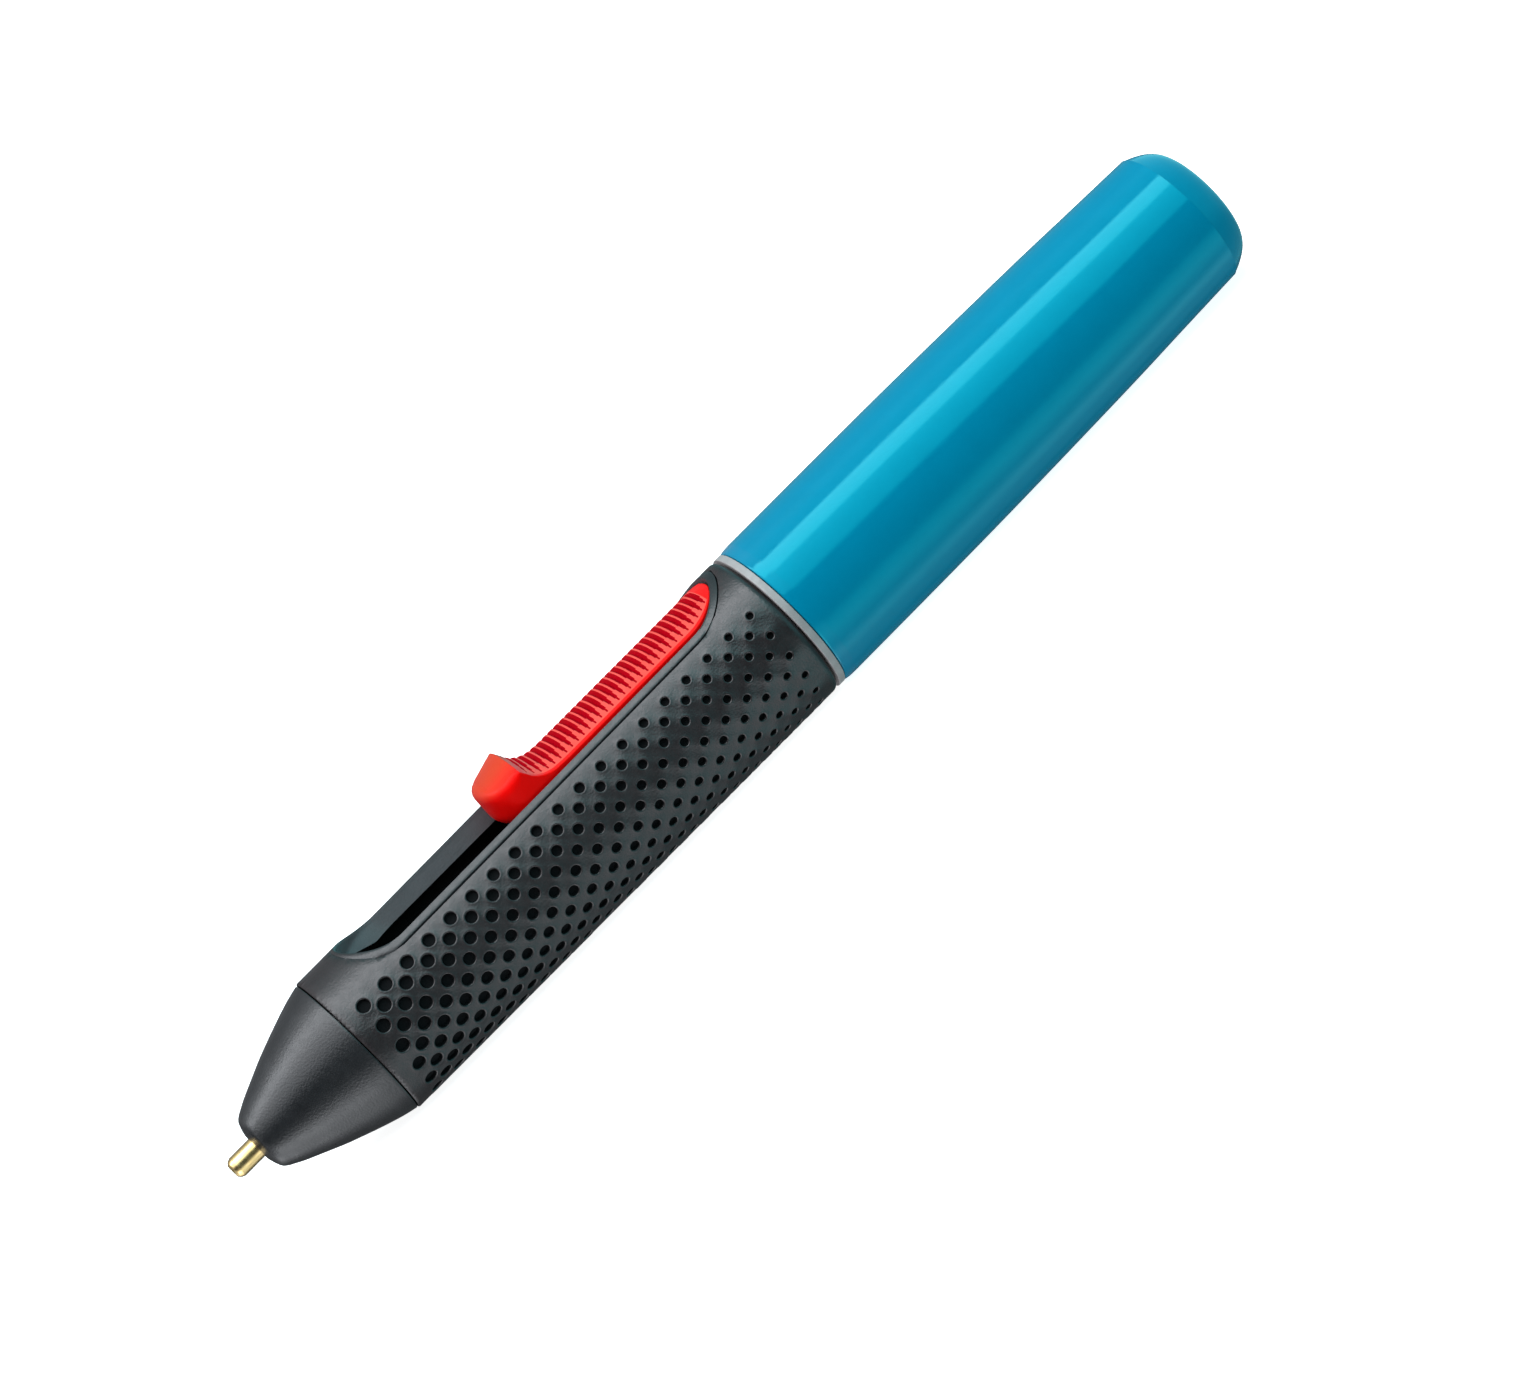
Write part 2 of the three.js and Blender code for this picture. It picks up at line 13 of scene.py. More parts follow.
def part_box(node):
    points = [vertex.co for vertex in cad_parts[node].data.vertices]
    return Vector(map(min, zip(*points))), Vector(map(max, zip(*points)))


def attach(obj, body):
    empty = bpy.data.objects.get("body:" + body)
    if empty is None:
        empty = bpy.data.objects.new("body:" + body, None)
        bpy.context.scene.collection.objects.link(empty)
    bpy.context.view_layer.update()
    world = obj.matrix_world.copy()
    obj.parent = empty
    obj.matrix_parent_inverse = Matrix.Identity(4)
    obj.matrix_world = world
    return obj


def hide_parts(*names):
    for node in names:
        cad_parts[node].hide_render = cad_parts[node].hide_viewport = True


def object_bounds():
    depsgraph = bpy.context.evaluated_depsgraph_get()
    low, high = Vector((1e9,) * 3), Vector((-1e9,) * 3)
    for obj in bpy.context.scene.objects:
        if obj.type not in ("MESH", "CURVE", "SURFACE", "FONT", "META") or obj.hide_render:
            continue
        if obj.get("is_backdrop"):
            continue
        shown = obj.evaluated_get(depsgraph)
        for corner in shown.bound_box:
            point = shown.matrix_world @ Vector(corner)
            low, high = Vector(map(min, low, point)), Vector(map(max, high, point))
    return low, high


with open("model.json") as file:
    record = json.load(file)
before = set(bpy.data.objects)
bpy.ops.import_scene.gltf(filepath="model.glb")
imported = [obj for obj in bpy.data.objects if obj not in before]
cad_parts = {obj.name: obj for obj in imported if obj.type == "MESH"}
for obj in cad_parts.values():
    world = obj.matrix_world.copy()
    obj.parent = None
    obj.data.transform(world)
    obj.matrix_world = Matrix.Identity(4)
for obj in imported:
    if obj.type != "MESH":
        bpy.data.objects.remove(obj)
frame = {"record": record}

CAD_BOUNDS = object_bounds()

# ---- places taken from the frame
# Shapes below are written in millimetres: station (from the nozzle tip along the pen), side (Y) and
# height above the pen's axis.

MM = 0.001
FULL = 2 * math.pi
TIP_X = CAD_BOUNDS[0][0]
TUBE_LOW, TUBE_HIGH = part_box("battery_tube")
AXIS_Z = (TUBE_LOW[2] + TUBE_HIGH[2]) / 2
REST_DROP = AXIS_Z / MM


def station(x):
    """The station of a frame X position, in millimetres."""
    return (x - TIP_X) / MM


def span(node):
    """A node's first and last station."""
    low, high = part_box(node)
    return station(low[0]), station(high[0])


LENGTH = station(CAD_BOUNDS[1][0])
SEAM = 0.12         # half of the dark joint line that shows between two shells

CONE_REAR = 24.3
GRIP_FRONT = 24.5
GRIP_REAR = span("grip_sleeve")[1] + 0.1
GRIP_INNER_R = 11.25
FRONT_R, FRONT_R_AT = 12.11, 28.0      # the grip's radius, and the station where it has it
REAR_R, REAR_R_AT = 12.49, 107.0

# Plan outlines: front, rear, half width, and how far the elliptical front and rear ends reach.
SLOT_TOP = (31.4, 105.0, 7.5, 7.8, 7.9)
SLOT_BOTTOM = (32.4, 104.2, 6.7, 8.2, 7.2)
RIM = (30.8, 106.5, 8.62, 7.5, 9.6)


# ---- mesh helpers

MERGED = 0.0005     # points closer together than this become one


def along(value, start, end):
    """0 before the start, 1 past the end, and evenly between."""
    return min(max((value - start) / (end - start), 0.0), 1.0)


def between(a, b, share):
    """The plan point at a share of the way from one to another."""
    return a[0] + (b[0] - a[0]) * share, a[1] + (b[1] - a[1]) * share


def to_frame(point):
    x, y, z = point
    return (TIP_X + x * MM, y * MM, AXIS_Z + z * MM)


def shade(bm, mesh, crease_deg):
    """Writes the mesh with its faces turned outwards, smooth but for the edges past an angle."""
    bmesh.ops.recalc_face_normals(bm, faces=bm.faces)
    for face in bm.faces:
        face.smooth = True
    bm.to_mesh(mesh)
    bm.free()
    mesh.set_sharp_from_angle(angle=math.radians(crease_deg))


def make_piece(name, points, faces, crease_deg=38.0, finish_of=None):
    """A smooth-shaded mesh object from points in millimetres, with its faces turned outwards.

    finish_of gives the material slot of each face number that doesn't take the first one.
    """
    mesh = bpy.data.meshes.new(name)
    bm = bmesh.new()
    corners = [bm.verts.new(to_frame(p)) for p in points]
    for number, face in enumerate(faces):
        loop = [corners[i] for k, i in enumerate(face) if i != face[k - 1]]
        if len(set(loop)) > 2:
            bm.faces.new(loop).material_index = (finish_of or {}).get(number, 0)
    bmesh.ops.remove_doubles(bm, verts=bm.verts, dist=MERGED * MM)
    shade(bm, mesh, crease_deg)
    piece = bpy.data.objects.new(name, mesh)
    bpy.context.scene.collection.objects.link(piece)
    return piece


def fillet(corners, steps=5):
    """A closed outline with each (x, r, radius) corner rounded by an arc of that radius."""
    outline = []
    count = len(corners)
    for i, (x, y, radius) in enumerate(corners):
        here = Vector((x, y))
        before = Vector(corners[i - 1][:2]) - here
        after = Vector(corners[(i + 1) % count][:2]) - here
        if radius <= 0 or before.length < 1e-9 or after.length < 1e-9:
            outline.append((x, y))
            continue
        half = before.angle(after) / 2
        reach = min(radius / math.tan(half), 0.49 * before.length, 0.49 * after.length)
        rounded = reach * math.tan(half)
        inwards = (before.normalized() + after.normalized()).normalized()
        centre = here + inwards * (rounded / math.sin(half))
        first = here + before.normalized() * reach - centre
        last = here + after.normalized() * reach - centre
        turn = first.angle_signed(last)
        for k in range(steps + 1):
            spoke = Vector(first)
            spoke.rotate(Matrix.Rotation(-turn * k / steps, 2))
            outline.append(tuple(centre + spoke))
    return outline


def through(points, per_span=4):
    """A smooth run of points through the given ones (Catmull-Rom)."""
    padded = [points[0], *points, points[-1]]
    run = []
    for i in range(1, len(padded) - 2):
        p0, p1, p2, p3 = (Vector(p) for p in padded[i - 1:i + 3])
        for k in range(per_span):
            t = k / per_span
            run.append(tuple(0.5 * (2 * p1 + (p2 - p0) * t + (2 * p0 - 5 * p1 + 4 * p2 - p3) * t * t
                                    + (3 * p1 - p0 - 3 * p2 + p3) * t * t * t)))
    run.append(tuple(points[-1]))
    return run


def turn(name, outline, sides=128, flat_below=math.inf):
    """Turns a closed outline of (station, radius) points about the pen's axis."""
    points, faces = [], []
    count = len(outline)
    for k in range(sides):
        angle = FULL * k / sides
        for x, r in outline:
            points.append((x, r * math.sin(angle), max(r * math.cos(angle), -flat_below)))
    for k in range(sides):
        this, other = k * count, ((k + 1) % sides) * count
        for i in range(count):
            j = (i + 1) % count
            if outline[i][1] < 1e-9 and outline[j][1] < 1e-9:
                continue
            faces.append((this + i, this + j, other + j, other + i))
    return make_piece(name, points, faces)


# ---- the grip's surface

REAR_ROUND = 1.0       # rounding at the sleeve's ends
REAR_ROUND_DEPTH = 0.9
FRONT_ROUND = 0.18


def grip_radius(x):
    radius = FRONT_R + (REAR_R - FRONT_R) * along(x, FRONT_R_AT, REAR_R_AT)
    rear = max((x - (GRIP_REAR - REAR_ROUND)) / REAR_ROUND, 0.0)
    front = max((GRIP_FRONT + FRONT_ROUND - x) / FRONT_ROUND, 0.0)
    radius -= REAR_ROUND_DEPTH * (1 - math.sqrt(max(0.0, 1 - rear * rear)))
    return radius - FRONT_ROUND * (1 - math.sqrt(max(0.0, 1 - front * front)))


def grip_point(x, angle, rise=0.0):
    """A point on the grip; the angle runs from the top centre line down the -Y side and round."""
    r = grip_radius(x) + rise
    return (x, -r * math.sin(angle), max(r * math.cos(angle), -REST_DROP))


def slot_outline(plan, end_steps=44, side_steps=40):
    """A closed plan outline of (station, side) points: elliptical ends with straight sides between."""
    front, rear, half, front_reach, rear_reach = plan
    front_centre, rear_centre = front + front_reach, rear - rear_reach
    ends = [(front_centre, rear_centre, front_reach, 1), (rear_centre, front_centre, rear_reach, -1)]
    outline = []
    for centre, other, reach, side in ends:
        for k in range(end_steps):
            angle = side * math.pi / 2 + math.pi * k / end_steps
            outline.append((centre + reach * math.cos(angle), half * math.sin(angle)))
        outline += [(centre + (other - centre) * k / side_steps, -side * half) for k in range(side_steps)]
    return outline


def moved_out(outline, reach):
    """The outline with each point moved outwards; reach is a function of the point's station."""
    moved = []
    count = len(outline)
    for i, (x, y) in enumerate(outline):
        (x0, y0), (x1, y1) = outline[i - 1], outline[(i + 1) % count]
        length = math.hypot(x1 - x0, y1 - y0)
        away = reach(x)
        moved.append((x + (y1 - y0) / length * away, y - (x1 - x0) / length * away))
    return moved


def half_width(plan, x):
    """Half the width of a slot outline at one station."""
    front, rear, half, front_reach, rear_reach = plan
    if not front < x < rear:
        return 0.0
    share = max((front + front_reach - x) / front_reach, (x - rear + rear_reach) / rear_reach, 0.0)
    return half * math.sqrt(max(0.0, 1 - share * share))


# The joint between the grip and the slot's rim: an open line along the sides and the rear, which closes
# to a soft crease round the front.
JOINT_CLOSES = (36.4, 37.6)
JOINT_CLOSED = 0.012
CREASE_DEPTH = 0.16
OPEN_DEPTH = 0.03
CREASE_REACH = 0.5


def joint_open(x):
    """0 where the joint is a closed crease, 1 where it is an open line."""
    return along(x, *JOINT_CLOSES)


def joint_half(x):
    return JOINT_CLOSED + (SEAM - JOINT_CLOSED) * joint_open(x)


def crease(x):
    return CREASE_DEPTH * (1 - joint_open(x)) + OPEN_DEPTH * joint_open(x)


# ---- grip sleeve with its dimples

UNROLL_R = 12.3     # the sleeve is triangulated flat, with this radius turning angles into lengths
DIMPLE_FIRST_X = 28.26
DIMPLE_STEP_X = 2.12
DIMPLE_COLUMNS = 37
DIMPLE_FIRST_ANGLE = math.radians(56.0)
DIMPLE_STEP_ANGLE = math.radians(9.185)
DIMPLE_ROWS = 28
DIMPLE_R_FRONT, DIMPLE_R_REAR = 1.06, 0.56
DIMPLE_SIDES = 20
# Each ring: distance from the dimple's edge, and height above the sleeve.
DIMPLE_RINGS = [(0.26, 0.02), (0.14, 0.045), (0.03, 0.02), (-0.05, -0.1), (-0.09, -0.3), (-0.13, -0.6)]
DIMPLE_SHADE_FROM = 4     # rings from this one inwards have the dark finish, painted shade in the pit
DIMPLE_FLOOR = -0.72
DIMPLE_BORDER = DIMPLE_RINGS[0][0] + 0.1     # from a dimple's edge to where its own mesh begins
DIMPLE_ROOM = 0.6        # no other point comes this near to a dimple's edge
END_STEPS = 96           # points round each end of the sleeve
FILL_STEP = 1.06         # spacing of the points where there are no dimples
FILL_ROWS = 78
PANEL = span("control_panel")
PANEL_HALF = (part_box("control_panel")[1][1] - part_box("control_panel")[0][1]) / 2 / MM
PANEL_GAP = 0.12
PANEL_MARGIN = 0.7       # dimples stay this far from it


def dimples():
    """Centre (station, angle) and radius of every dimple that is clear of the control panel."""
    for row in range(DIMPLE_ROWS):
        angle = DIMPLE_FIRST_ANGLE + DIMPLE_STEP_ANGLE * row
        for column in range(row % 2, DIMPLE_COLUMNS, 2):
            x = DIMPLE_FIRST_X + DIMPLE_STEP_X * column
            share = column / (DIMPLE_COLUMNS - 1)
            radius = DIMPLE_R_FRONT + (DIMPLE_R_REAR - DIMPLE_R_FRONT) * share
            side = abs(grip_radius(x) * math.sin(angle))
            room = radius + PANEL_MARGIN
            near_panel = (math.cos(angle) < 0 and side < PANEL_HALF + room
                          and PANEL[0] - room < x < PANEL[1] + room)
            if not near_panel:
                yield x, angle, radius


def in_sleeve(x, angle):
    """Whether a place on the unrolled grip belongs to the sleeve."""
    side = abs(grip_radius(x) * math.sin(angle))
    if math.cos(angle) > 0:
        return side > half_width(RIM, x)
    return not (PANEL[0] - PANEL_GAP < x < PANEL[1] + PANEL_GAP and side < PANEL_HALF + PANEL_GAP)


class Flat:
    """Points and edges of the unrolled sleeve, for one constrained triangulation."""

    def __init__(self):
        self.points = []
        self.edges = []

    def add(self, x, angle):
        self.points.append(Vector((x, angle * UNROLL_R)))
        return len(self.points) - 1

    def line(self, places, closed=False):
        """Adds a chain of (station, angle) points joined by fixed edges."""
        first = len(self.points)
        ids = [self.add(x, angle) for x, angle in places]
        self.edges += [(first + k, first + k + 1) for k in range(len(ids) - 1)]
        if closed:
            self.edges.append((ids[-1], first))
        return ids

    def triangulate(self):
        """The triangles, and for each given point the place it has in the returned list."""
        verts, _, faces, origins, _, _ = delaunay_2d_cdt(self.points, self.edges, [], 0, 1e-6, True)
        where = {}
        for index, sources in enumerate(origins):
            for source in sources:
                where[source] = index
        return verts, faces, where


def apex_runs():
    """Two chains along the top: from the sleeve's front to the rim, and on to its rear."""
    front_end, rear_start = RIM[0] - JOINT_CLOSED, RIM[1] + SEAM
    round_start = GRIP_REAR - REAR_ROUND
    front_run = [(GRIP_FRONT + (front_end - GRIP_FRONT) * k / 4, 0.0) for k in range(5)]
    rear_run = [(rear_start + (round_start - rear_start) * k / 2, 0.0) for k in range(2)]
    rear_run += [(rear_rounding(k), 0.0) for k in range(7)]
    return front_run, rear_run


def rear_rounding(k):
    """Station of row k of 6 over the rounded rear edge."""
    return GRIP_REAR - REAR_ROUND * (1 - math.sin(math.pi / 2 * k / 6))


def draw_panel_window(flat):
    half = math.asin((PANEL_HALF + PANEL_GAP) / UNROLL_R)
    x0, x1 = PANEL[0] - PANEL_GAP, PANEL[1] + PANEL_GAP
    low, high = math.pi - half, math.pi + half
    corners = [(x0, low), (x1, low), (x1, high), (x0, high), (x0, low)]
    window = []
    for a, b, steps in zip(corners, corners[1:], (16, 8, 16, 8)):
        window += [between(a, b, k / steps) for k in range(steps)]
    flat.line(window, closed=True)


def draw_borders(flat):
    """Draws the sleeve's ends, its seam along the top and its openings; returns the rim's points."""
    rim = moved_out(slot_outline(RIM), joint_half)
    near_side = sorted((x, math.asin(min(1.0, y / grip_radius(x)))) for x, y in rim if y > 1e-3)
    front_run, rear_run = apex_runs()
    chain = front_run + near_side + rear_run
    ids = flat.line(chain) + flat.line([(x, FULL - angle) for x, angle in chain])
    for x in (GRIP_FRONT, GRIP_REAR):
        flat.line([(x, FULL * k / END_STEPS) for k in range(END_STEPS + 1)])
    draw_panel_window(flat)
    for x, y in moved_out(slot_outline(RIM), lambda x: CREASE_REACH)[::2]:
        angle = math.asin(max(-1.0, min(1.0, y / grip_radius(x))))
        if abs(y) > 0.3:
            flat.add(x, angle % FULL)
    count = len(chain)
    first, last = len(front_run) - 1, count - len(rear_run)
    return [ids[k] for half in (0, count) for k in range(half + first, half + last + 1)]


def draw_rounded_ends(flat):
    rows = [(rear_rounding(k), 0.5 * (k % 2)) for k in range(1, 6)]
    rows += [(x, 0.25) for x in (GRIP_FRONT + 0.05, GRIP_FRONT + FRONT_ROUND, GRIP_REAR - REAR_ROUND)]
    for x, shift in rows:
        for step in range(END_STEPS):
            flat.add(x, FULL * (step + shift) / END_STEPS)


def draw_dimple(flat, x, angle, radius):
    """Draws the circle where a dimple's own mesh begins."""
    reach = radius + DIMPLE_BORDER
    turns = [FULL * k / DIMPLE_SIDES for k in range(DIMPLE_SIDES)]
    places = [(x + reach * math.cos(turn), angle + reach * math.sin(turn) / UNROLL_R) for turn in turns]
    return flat.line(places, closed=True)


def away_from_dimples(x, angle, holes):
    return all(math.hypot(x - hx, (angle - ha) * UNROLL_R) >= hr + DIMPLE_ROOM for hx, ha, hr in holes)


def fill_plain_areas(flat, holes):
    """Spreads points over the places that have no dimples."""
    last_dimple = DIMPLE_FIRST_X + DIMPLE_STEP_X * (DIMPLE_COLUMNS - 1)
    for column in range(int((GRIP_REAR - GRIP_FRONT) / FILL_STEP)):
        x = GRIP_FRONT + 0.7 + FILL_STEP * column
        if x >= GRIP_REAR - REAR_ROUND - 0.3:
            break
        for row in range(FILL_ROWS):
            angle = FULL * (row + 0.5 * (column % 2)) / FILL_ROWS
            on_top = math.cos(angle) > 0.55
            at_an_end = x < DIMPLE_FIRST_X - 1.6 or x > last_dimple + 1.2
            by_the_panel = math.cos(angle) < -0.85 and PANEL[0] - 3 < x < PANEL[1] + 3
            plain = on_top or at_an_end or by_the_panel
            if plain and in_sleeve(x, angle) and away_from_dimples(x, angle, holes):
                flat.add(x, angle)


def sink_dimple(points, faces, dark, hole, ring):
    """Adds a dimple's rings and floor inside its circle; dark collects the faces painted darker as shade in
    the pit.
    """
    x, angle, radius = hole
    for level, (reach, rise) in enumerate(DIMPLE_RINGS):
        inner = []
        for k in range(DIMPLE_SIDES):
            a = FULL * k / DIMPLE_SIDES
            r = radius + reach
            inner.append(len(points))
            points.append(grip_point(x + r * math.cos(a), angle + r * math.sin(a) / UNROLL_R, rise))
        if level >= DIMPLE_SHADE_FROM:
            dark.update(range(len(faces), len(faces) + DIMPLE_SIDES))
        faces += [(ring[k - 1], ring[k], inner[k], inner[k - 1]) for k in range(DIMPLE_SIDES)]
        ring = inner
    middle = len(points)
    points.append(grip_point(x, angle, DIMPLE_FLOOR))
    dark.update(range(len(faces), len(faces) + DIMPLE_SIDES))
    faces += [(ring[k - 1], ring[k], middle) for k in range(DIMPLE_SIDES)]


def sleeve_surface(holes):
    """The sleeve's outer skin as points and faces, and the numbers of its dark faces, painted shade in the
    dimples' pits.
    """
    flat = Flat()
    rim_ids = draw_borders(flat)
    draw_rounded_ends(flat)
    rings = [draw_dimple(flat, *hole) for hole in holes]
    fill_plain_areas(flat, holes)
    verts, triangles, where = flat.triangulate()
    points = [grip_point(v.x, v.y / UNROLL_R) for v in verts]
    for i in rim_ids:
        v = verts[where[i]]
        points[where[i]] = grip_point(v.x, v.y / UNROLL_R, -crease(v.x))
    ring_of = {where[i]: number for number, ids in enumerate(rings) for i in ids}
    faces = []
    for triangle in triangles:
        x = sum(verts[i].x for i in triangle) / len(triangle)
        s = sum(verts[i].y for i in triangle) / len(triangle)
        inside = -1e-6 < s < FULL * UNROLL_R + 1e-6 and GRIP_FRONT < x < GRIP_REAR
        # a triangle whose corners all lie on one dimple's circle fills part of that circle
        touched = {ring_of.get(i) for i in triangle}
        in_dimple = len(touched) == 1 and None not in touched
        if inside and in_sleeve(x, s / UNROLL_R) and not in_dimple:
            faces.append(tuple(triangle))
    dark = set()
    for hole, ids in zip(holes, rings):
        sink_dimple(points, faces, dark, hole, [where[i] for i in ids])
    return points, faces, dark


def make_grip():
    """The sleeve's skin, with walls from its borders down to its inner radius."""
    points, faces, dark = sleeve_surface(list(dimples()))
    crease_deg = 50.0
    piece = make_piece("grip_sleeve_skin", points, faces, crease_deg, dict.fromkeys(dark, 1))
    mesh = piece.data
    bm = bmesh.new()
    bm.from_mesh(mesh)
    border = [edge for edge in bm.edges if edge.is_boundary]
    made = bmesh.ops.extrude_edge_only(bm, edges=border)
    for item in made["geom"]:
        if isinstance(item, bmesh.types.BMFace):
            item.material_index = 1
        elif isinstance(item, bmesh.types.BMVert):
            y, z = item.co.y, item.co.z - AXIS_Z
            scale = GRIP_INNER_R * MM / math.hypot(y, z)
            item.co.y, item.co.z = y * scale, AXIS_Z + z * scale
    shade(bm, mesh, crease_deg)
    return piece


# ---- hard rim round the slot

RIM_INNER_R = 9.6   # the rim's inside follows the grip at this radius
SLOT_FLOOR = 6.86   # and nothing of the rim is lower than this
SLOPE_TOP = 9.3     # below this height the slot's walls slope inwards
RIM_EDGE = 0.14     # rounding where the rim turns down into the slot
JOINT_DARK, LIT_SLOT_WALL = 1, 2     # the rim's other finishes, in the order of its material slots; the slot's wall is painted a lighter grey, painted light on the black shell


def grip_height(x, y, sink=0.0):
    r = grip_radius(x) - sink
    return math.sqrt(max(r * r - y * y, 0.0))


def rim_floor(y):
    """Height of the rim's inside at a distance from the middle."""
    return max(math.sqrt(max(RIM_INNER_R ** 2 - y * y, 0.0)), SLOT_FLOOR)


def make_rim():
    """The rim as a loop of cross sections: joint, top skin, rounded lip, sloping slot wall, inside."""
    outer = moved_out(slot_outline(RIM), lambda x: -joint_half(x))
    lip = moved_out(slot_outline(SLOT_TOP), lambda x: RIM_EDGE)
    wall = slot_outline(SLOT_TOP)
    foot = slot_outline(SLOT_BOTTOM)
    count = len(outer)
    loops = [[(x, y, math.sqrt(max(GRIP_INNER_R ** 2 - y * y, 0.0))) for x, y in outer]]
    for share, sink in ((0.0, 1.0), (0.3, 0.3), (0.5, 0.0), (0.75, 0.0), (1.0, 0.0)):
        row = []
        for o, l in zip(outer, lip):
            x, y = between(o, l, share)
            row.append((x, y, grip_height(x, y, sink * crease(o[0]))))
        loops.append(row)
    for k in range(1, 5):
        angle = math.pi / 2 * k / 5
        drop = RIM_EDGE * (1 - math.cos(angle))
        corner = [(*between(l, w, math.sin(angle)), grip_height(*l) - drop) for l, w in zip(lip, wall)]
        loops.append(corner)
    wall_from = len(loops) - 1
    for k in range(1, 9):
        row = []
        for c, w, f in zip(corner, wall, foot):
            height = c[2] + (rim_floor(w[1]) - c[2]) * k / 8
            row.append((*between(w, f, along(height, SLOPE_TOP, SLOT_FLOOR)), height))
        loops.append(row)
    underside = moved_out(wall, lambda x: 0.5)
    loops.append([(min(max(x, RIM[0]), RIM[1]), y, rim_floor(y)) for x, y in underside])
    points = [p for loop in loops for p in loop]
    faces = []
    for a in range(len(loops)):
        b = (a + 1) % len(loops)
        for i in range(count):
            j = (i + 1) % count
            faces.append((a * count + i, a * count + j, b * count + j, b * count + i))
    # the joint's own wall is dark, and so is the hidden inside
    joint_faces = [*range(count), *range((len(loops) - 1) * count, len(loops) * count)]
    finish_of = dict.fromkeys(joint_faces, JOINT_DARK)
    # painted light: the sloping slot wall takes a lighter grey than the rest of the black shell
    finish_of.update(dict.fromkeys(range(wall_from * count, (len(loops) - 2) * count), LIT_SLOT_WALL))
    return make_piece("slot_rim", points, faces, 45.0, finish_of)


# ---- thumb slider

SLIDER_GAP = 0.3
SLIDER_HALF = SLOT_TOP[2] - SLIDER_GAP
SLIDER_LOW_HALF = SLOT_BOTTOM[2] - SLIDER_GAP
SLIDER_FOOT = 7.0
REAR_FOOT = 8.65         # higher at the rear, where the battery tube passes below the slider
FOOT_STEP = (85.6, 86.8)
PAD_REAR = 104.7
PAD_REAR_REACH = 7.8
NOSE_FRONT = span("slider")[0]
NOSE_REACH = 5.0
NOSE_SIDES_FROM = NOSE_FRONT + NOSE_REACH
NOSE_CREST = 66.35
PAD_TOP, PAD_CROWN_R = 11.85, 16.0
NOSE_CROWN_R = 12.0
CROWN_CHANGE = 5.0       # behind the crest, the nose's crown turns into the pad's over this length
NOSE_LINE = [(NOSE_FRONT, 13.2), (62.0, 14.5), (64.45, 15.38), (NOSE_CREST, 15.93)]
SCOOP_LINE = [(66.55, 15.9), (66.8, 15.25), (67.5, 13.95), (68.5, 12.95), (69.7, 12.3), (71.1, 11.95),
              (72.8, PAD_TOP)]
RIB_PITCH = 1.153         # measured along the surface
RIB_LAST = 102.12         # station of the last groove
RIB_START = 0.5           # the first ones begin this far behind the nose's crest
RIB_DEPTH = 0.46
RIB_SLOPE = 1.04          # of a groove's walls
RIB_MARGIN = 0.5          # the grooves end this far from the pad's edge
EDGE_ROUND = 0.3         # rounding along the edge of the ribbed pad
NOSE_ROUND = 1.7         # and along the edge of the nose's roof
NOSE_ROUND_ENDS = (66.9, 65.2)
UNDERCUT_TOP = 9.8       # the nose's front curves back below this height
UNDERCUT_R = 2.9
OFF_THE_RIBS = -9.0      # the groove depth given for places that have none
RED, SHADED_GROOVE, HIGHLIT_CREST = 0, 1, 2      # the slider's finishes, in the order of its material slots: red, painted shade in the grooves, painted highlight on the crests


def line_height(line, x):
    for (x0, z0), (x1, z1) in zip(line, line[1:]):
        if x <= x1:
            t = max(0.0, (x - x0) / (x1 - x0))
            return z0 + (z1 - z0) * t
    return line[-1][1]


SMOOTH_NOSE = through(NOSE_LINE, 6)
SMOOTH_SCOOP = through(SCOOP_LINE, 6)


def ridge_height(x):
    """Height of the slider's middle line."""
    if x <= NOSE_LINE[-1][0]:
        return line_height(SMOOTH_NOSE, x)
    if x >= SCOOP_LINE[-1][0]:
        return PAD_TOP
    return line_height(SMOOTH_SCOOP, x)


class Arc:
    """Length along the slider's middle line, measured from the nose's crest."""

    def __init__(self, step=0.02):
        self.stations = [NOSE_CREST]
        self.lengths = [0.0]
        while self.stations[-1] < PAD_REAR:
            x = self.stations[-1]
            rise = ridge_height(x + step) - ridge_height(x)
            self.lengths.append(self.lengths[-1] + math.hypot(step, rise))
            self.stations.append(x + step)

    def at(self, x):
        """The length up to a station."""
        return interpolate(self.stations, self.lengths, x)

    def station(self, length):
        return interpolate(self.lengths, self.stations, length)


def interpolate(inputs, outputs, value):
    index = min(max(bisect.bisect_left(inputs, value), 1), len(inputs) - 1)
    share = along(value, inputs[index - 1], inputs[index])
    return outputs[index - 1] + (outputs[index] - outputs[index - 1]) * share


ARC = Arc()
RIB_COUNT = int((ARC.at(RIB_LAST) - RIB_START) / RIB_PITCH - 0.5) + 1
RIB_FIRST = ARC.at(RIB_LAST) - (RIB_COUNT - 1) * RIB_PITCH


def slider_half(x):
    """Half width of the slider's top at a station."""
    return half_width((NOSE_FRONT, PAD_REAR, SLIDER_HALF, NOSE_REACH, PAD_REAR_REACH), x)


def groove_depth(x, y):
    """How deep the pad's grooves are at a place: below zero on the crests, far below off the ribs."""
    reach = slider_half(x) - RIB_MARGIN
    length = ARC.at(x)
    nearest = round((length - RIB_FIRST) / RIB_PITCH)
    if x <= NOSE_CREST or not 0 <= nearest < RIB_COUNT or abs(y) >= reach:
        return OFF_THE_RIBS
    away = abs(length - RIB_FIRST - nearest * RIB_PITCH)
    return RIB_DEPTH * (1 - abs(y / reach) ** 3) - RIB_SLOPE * away


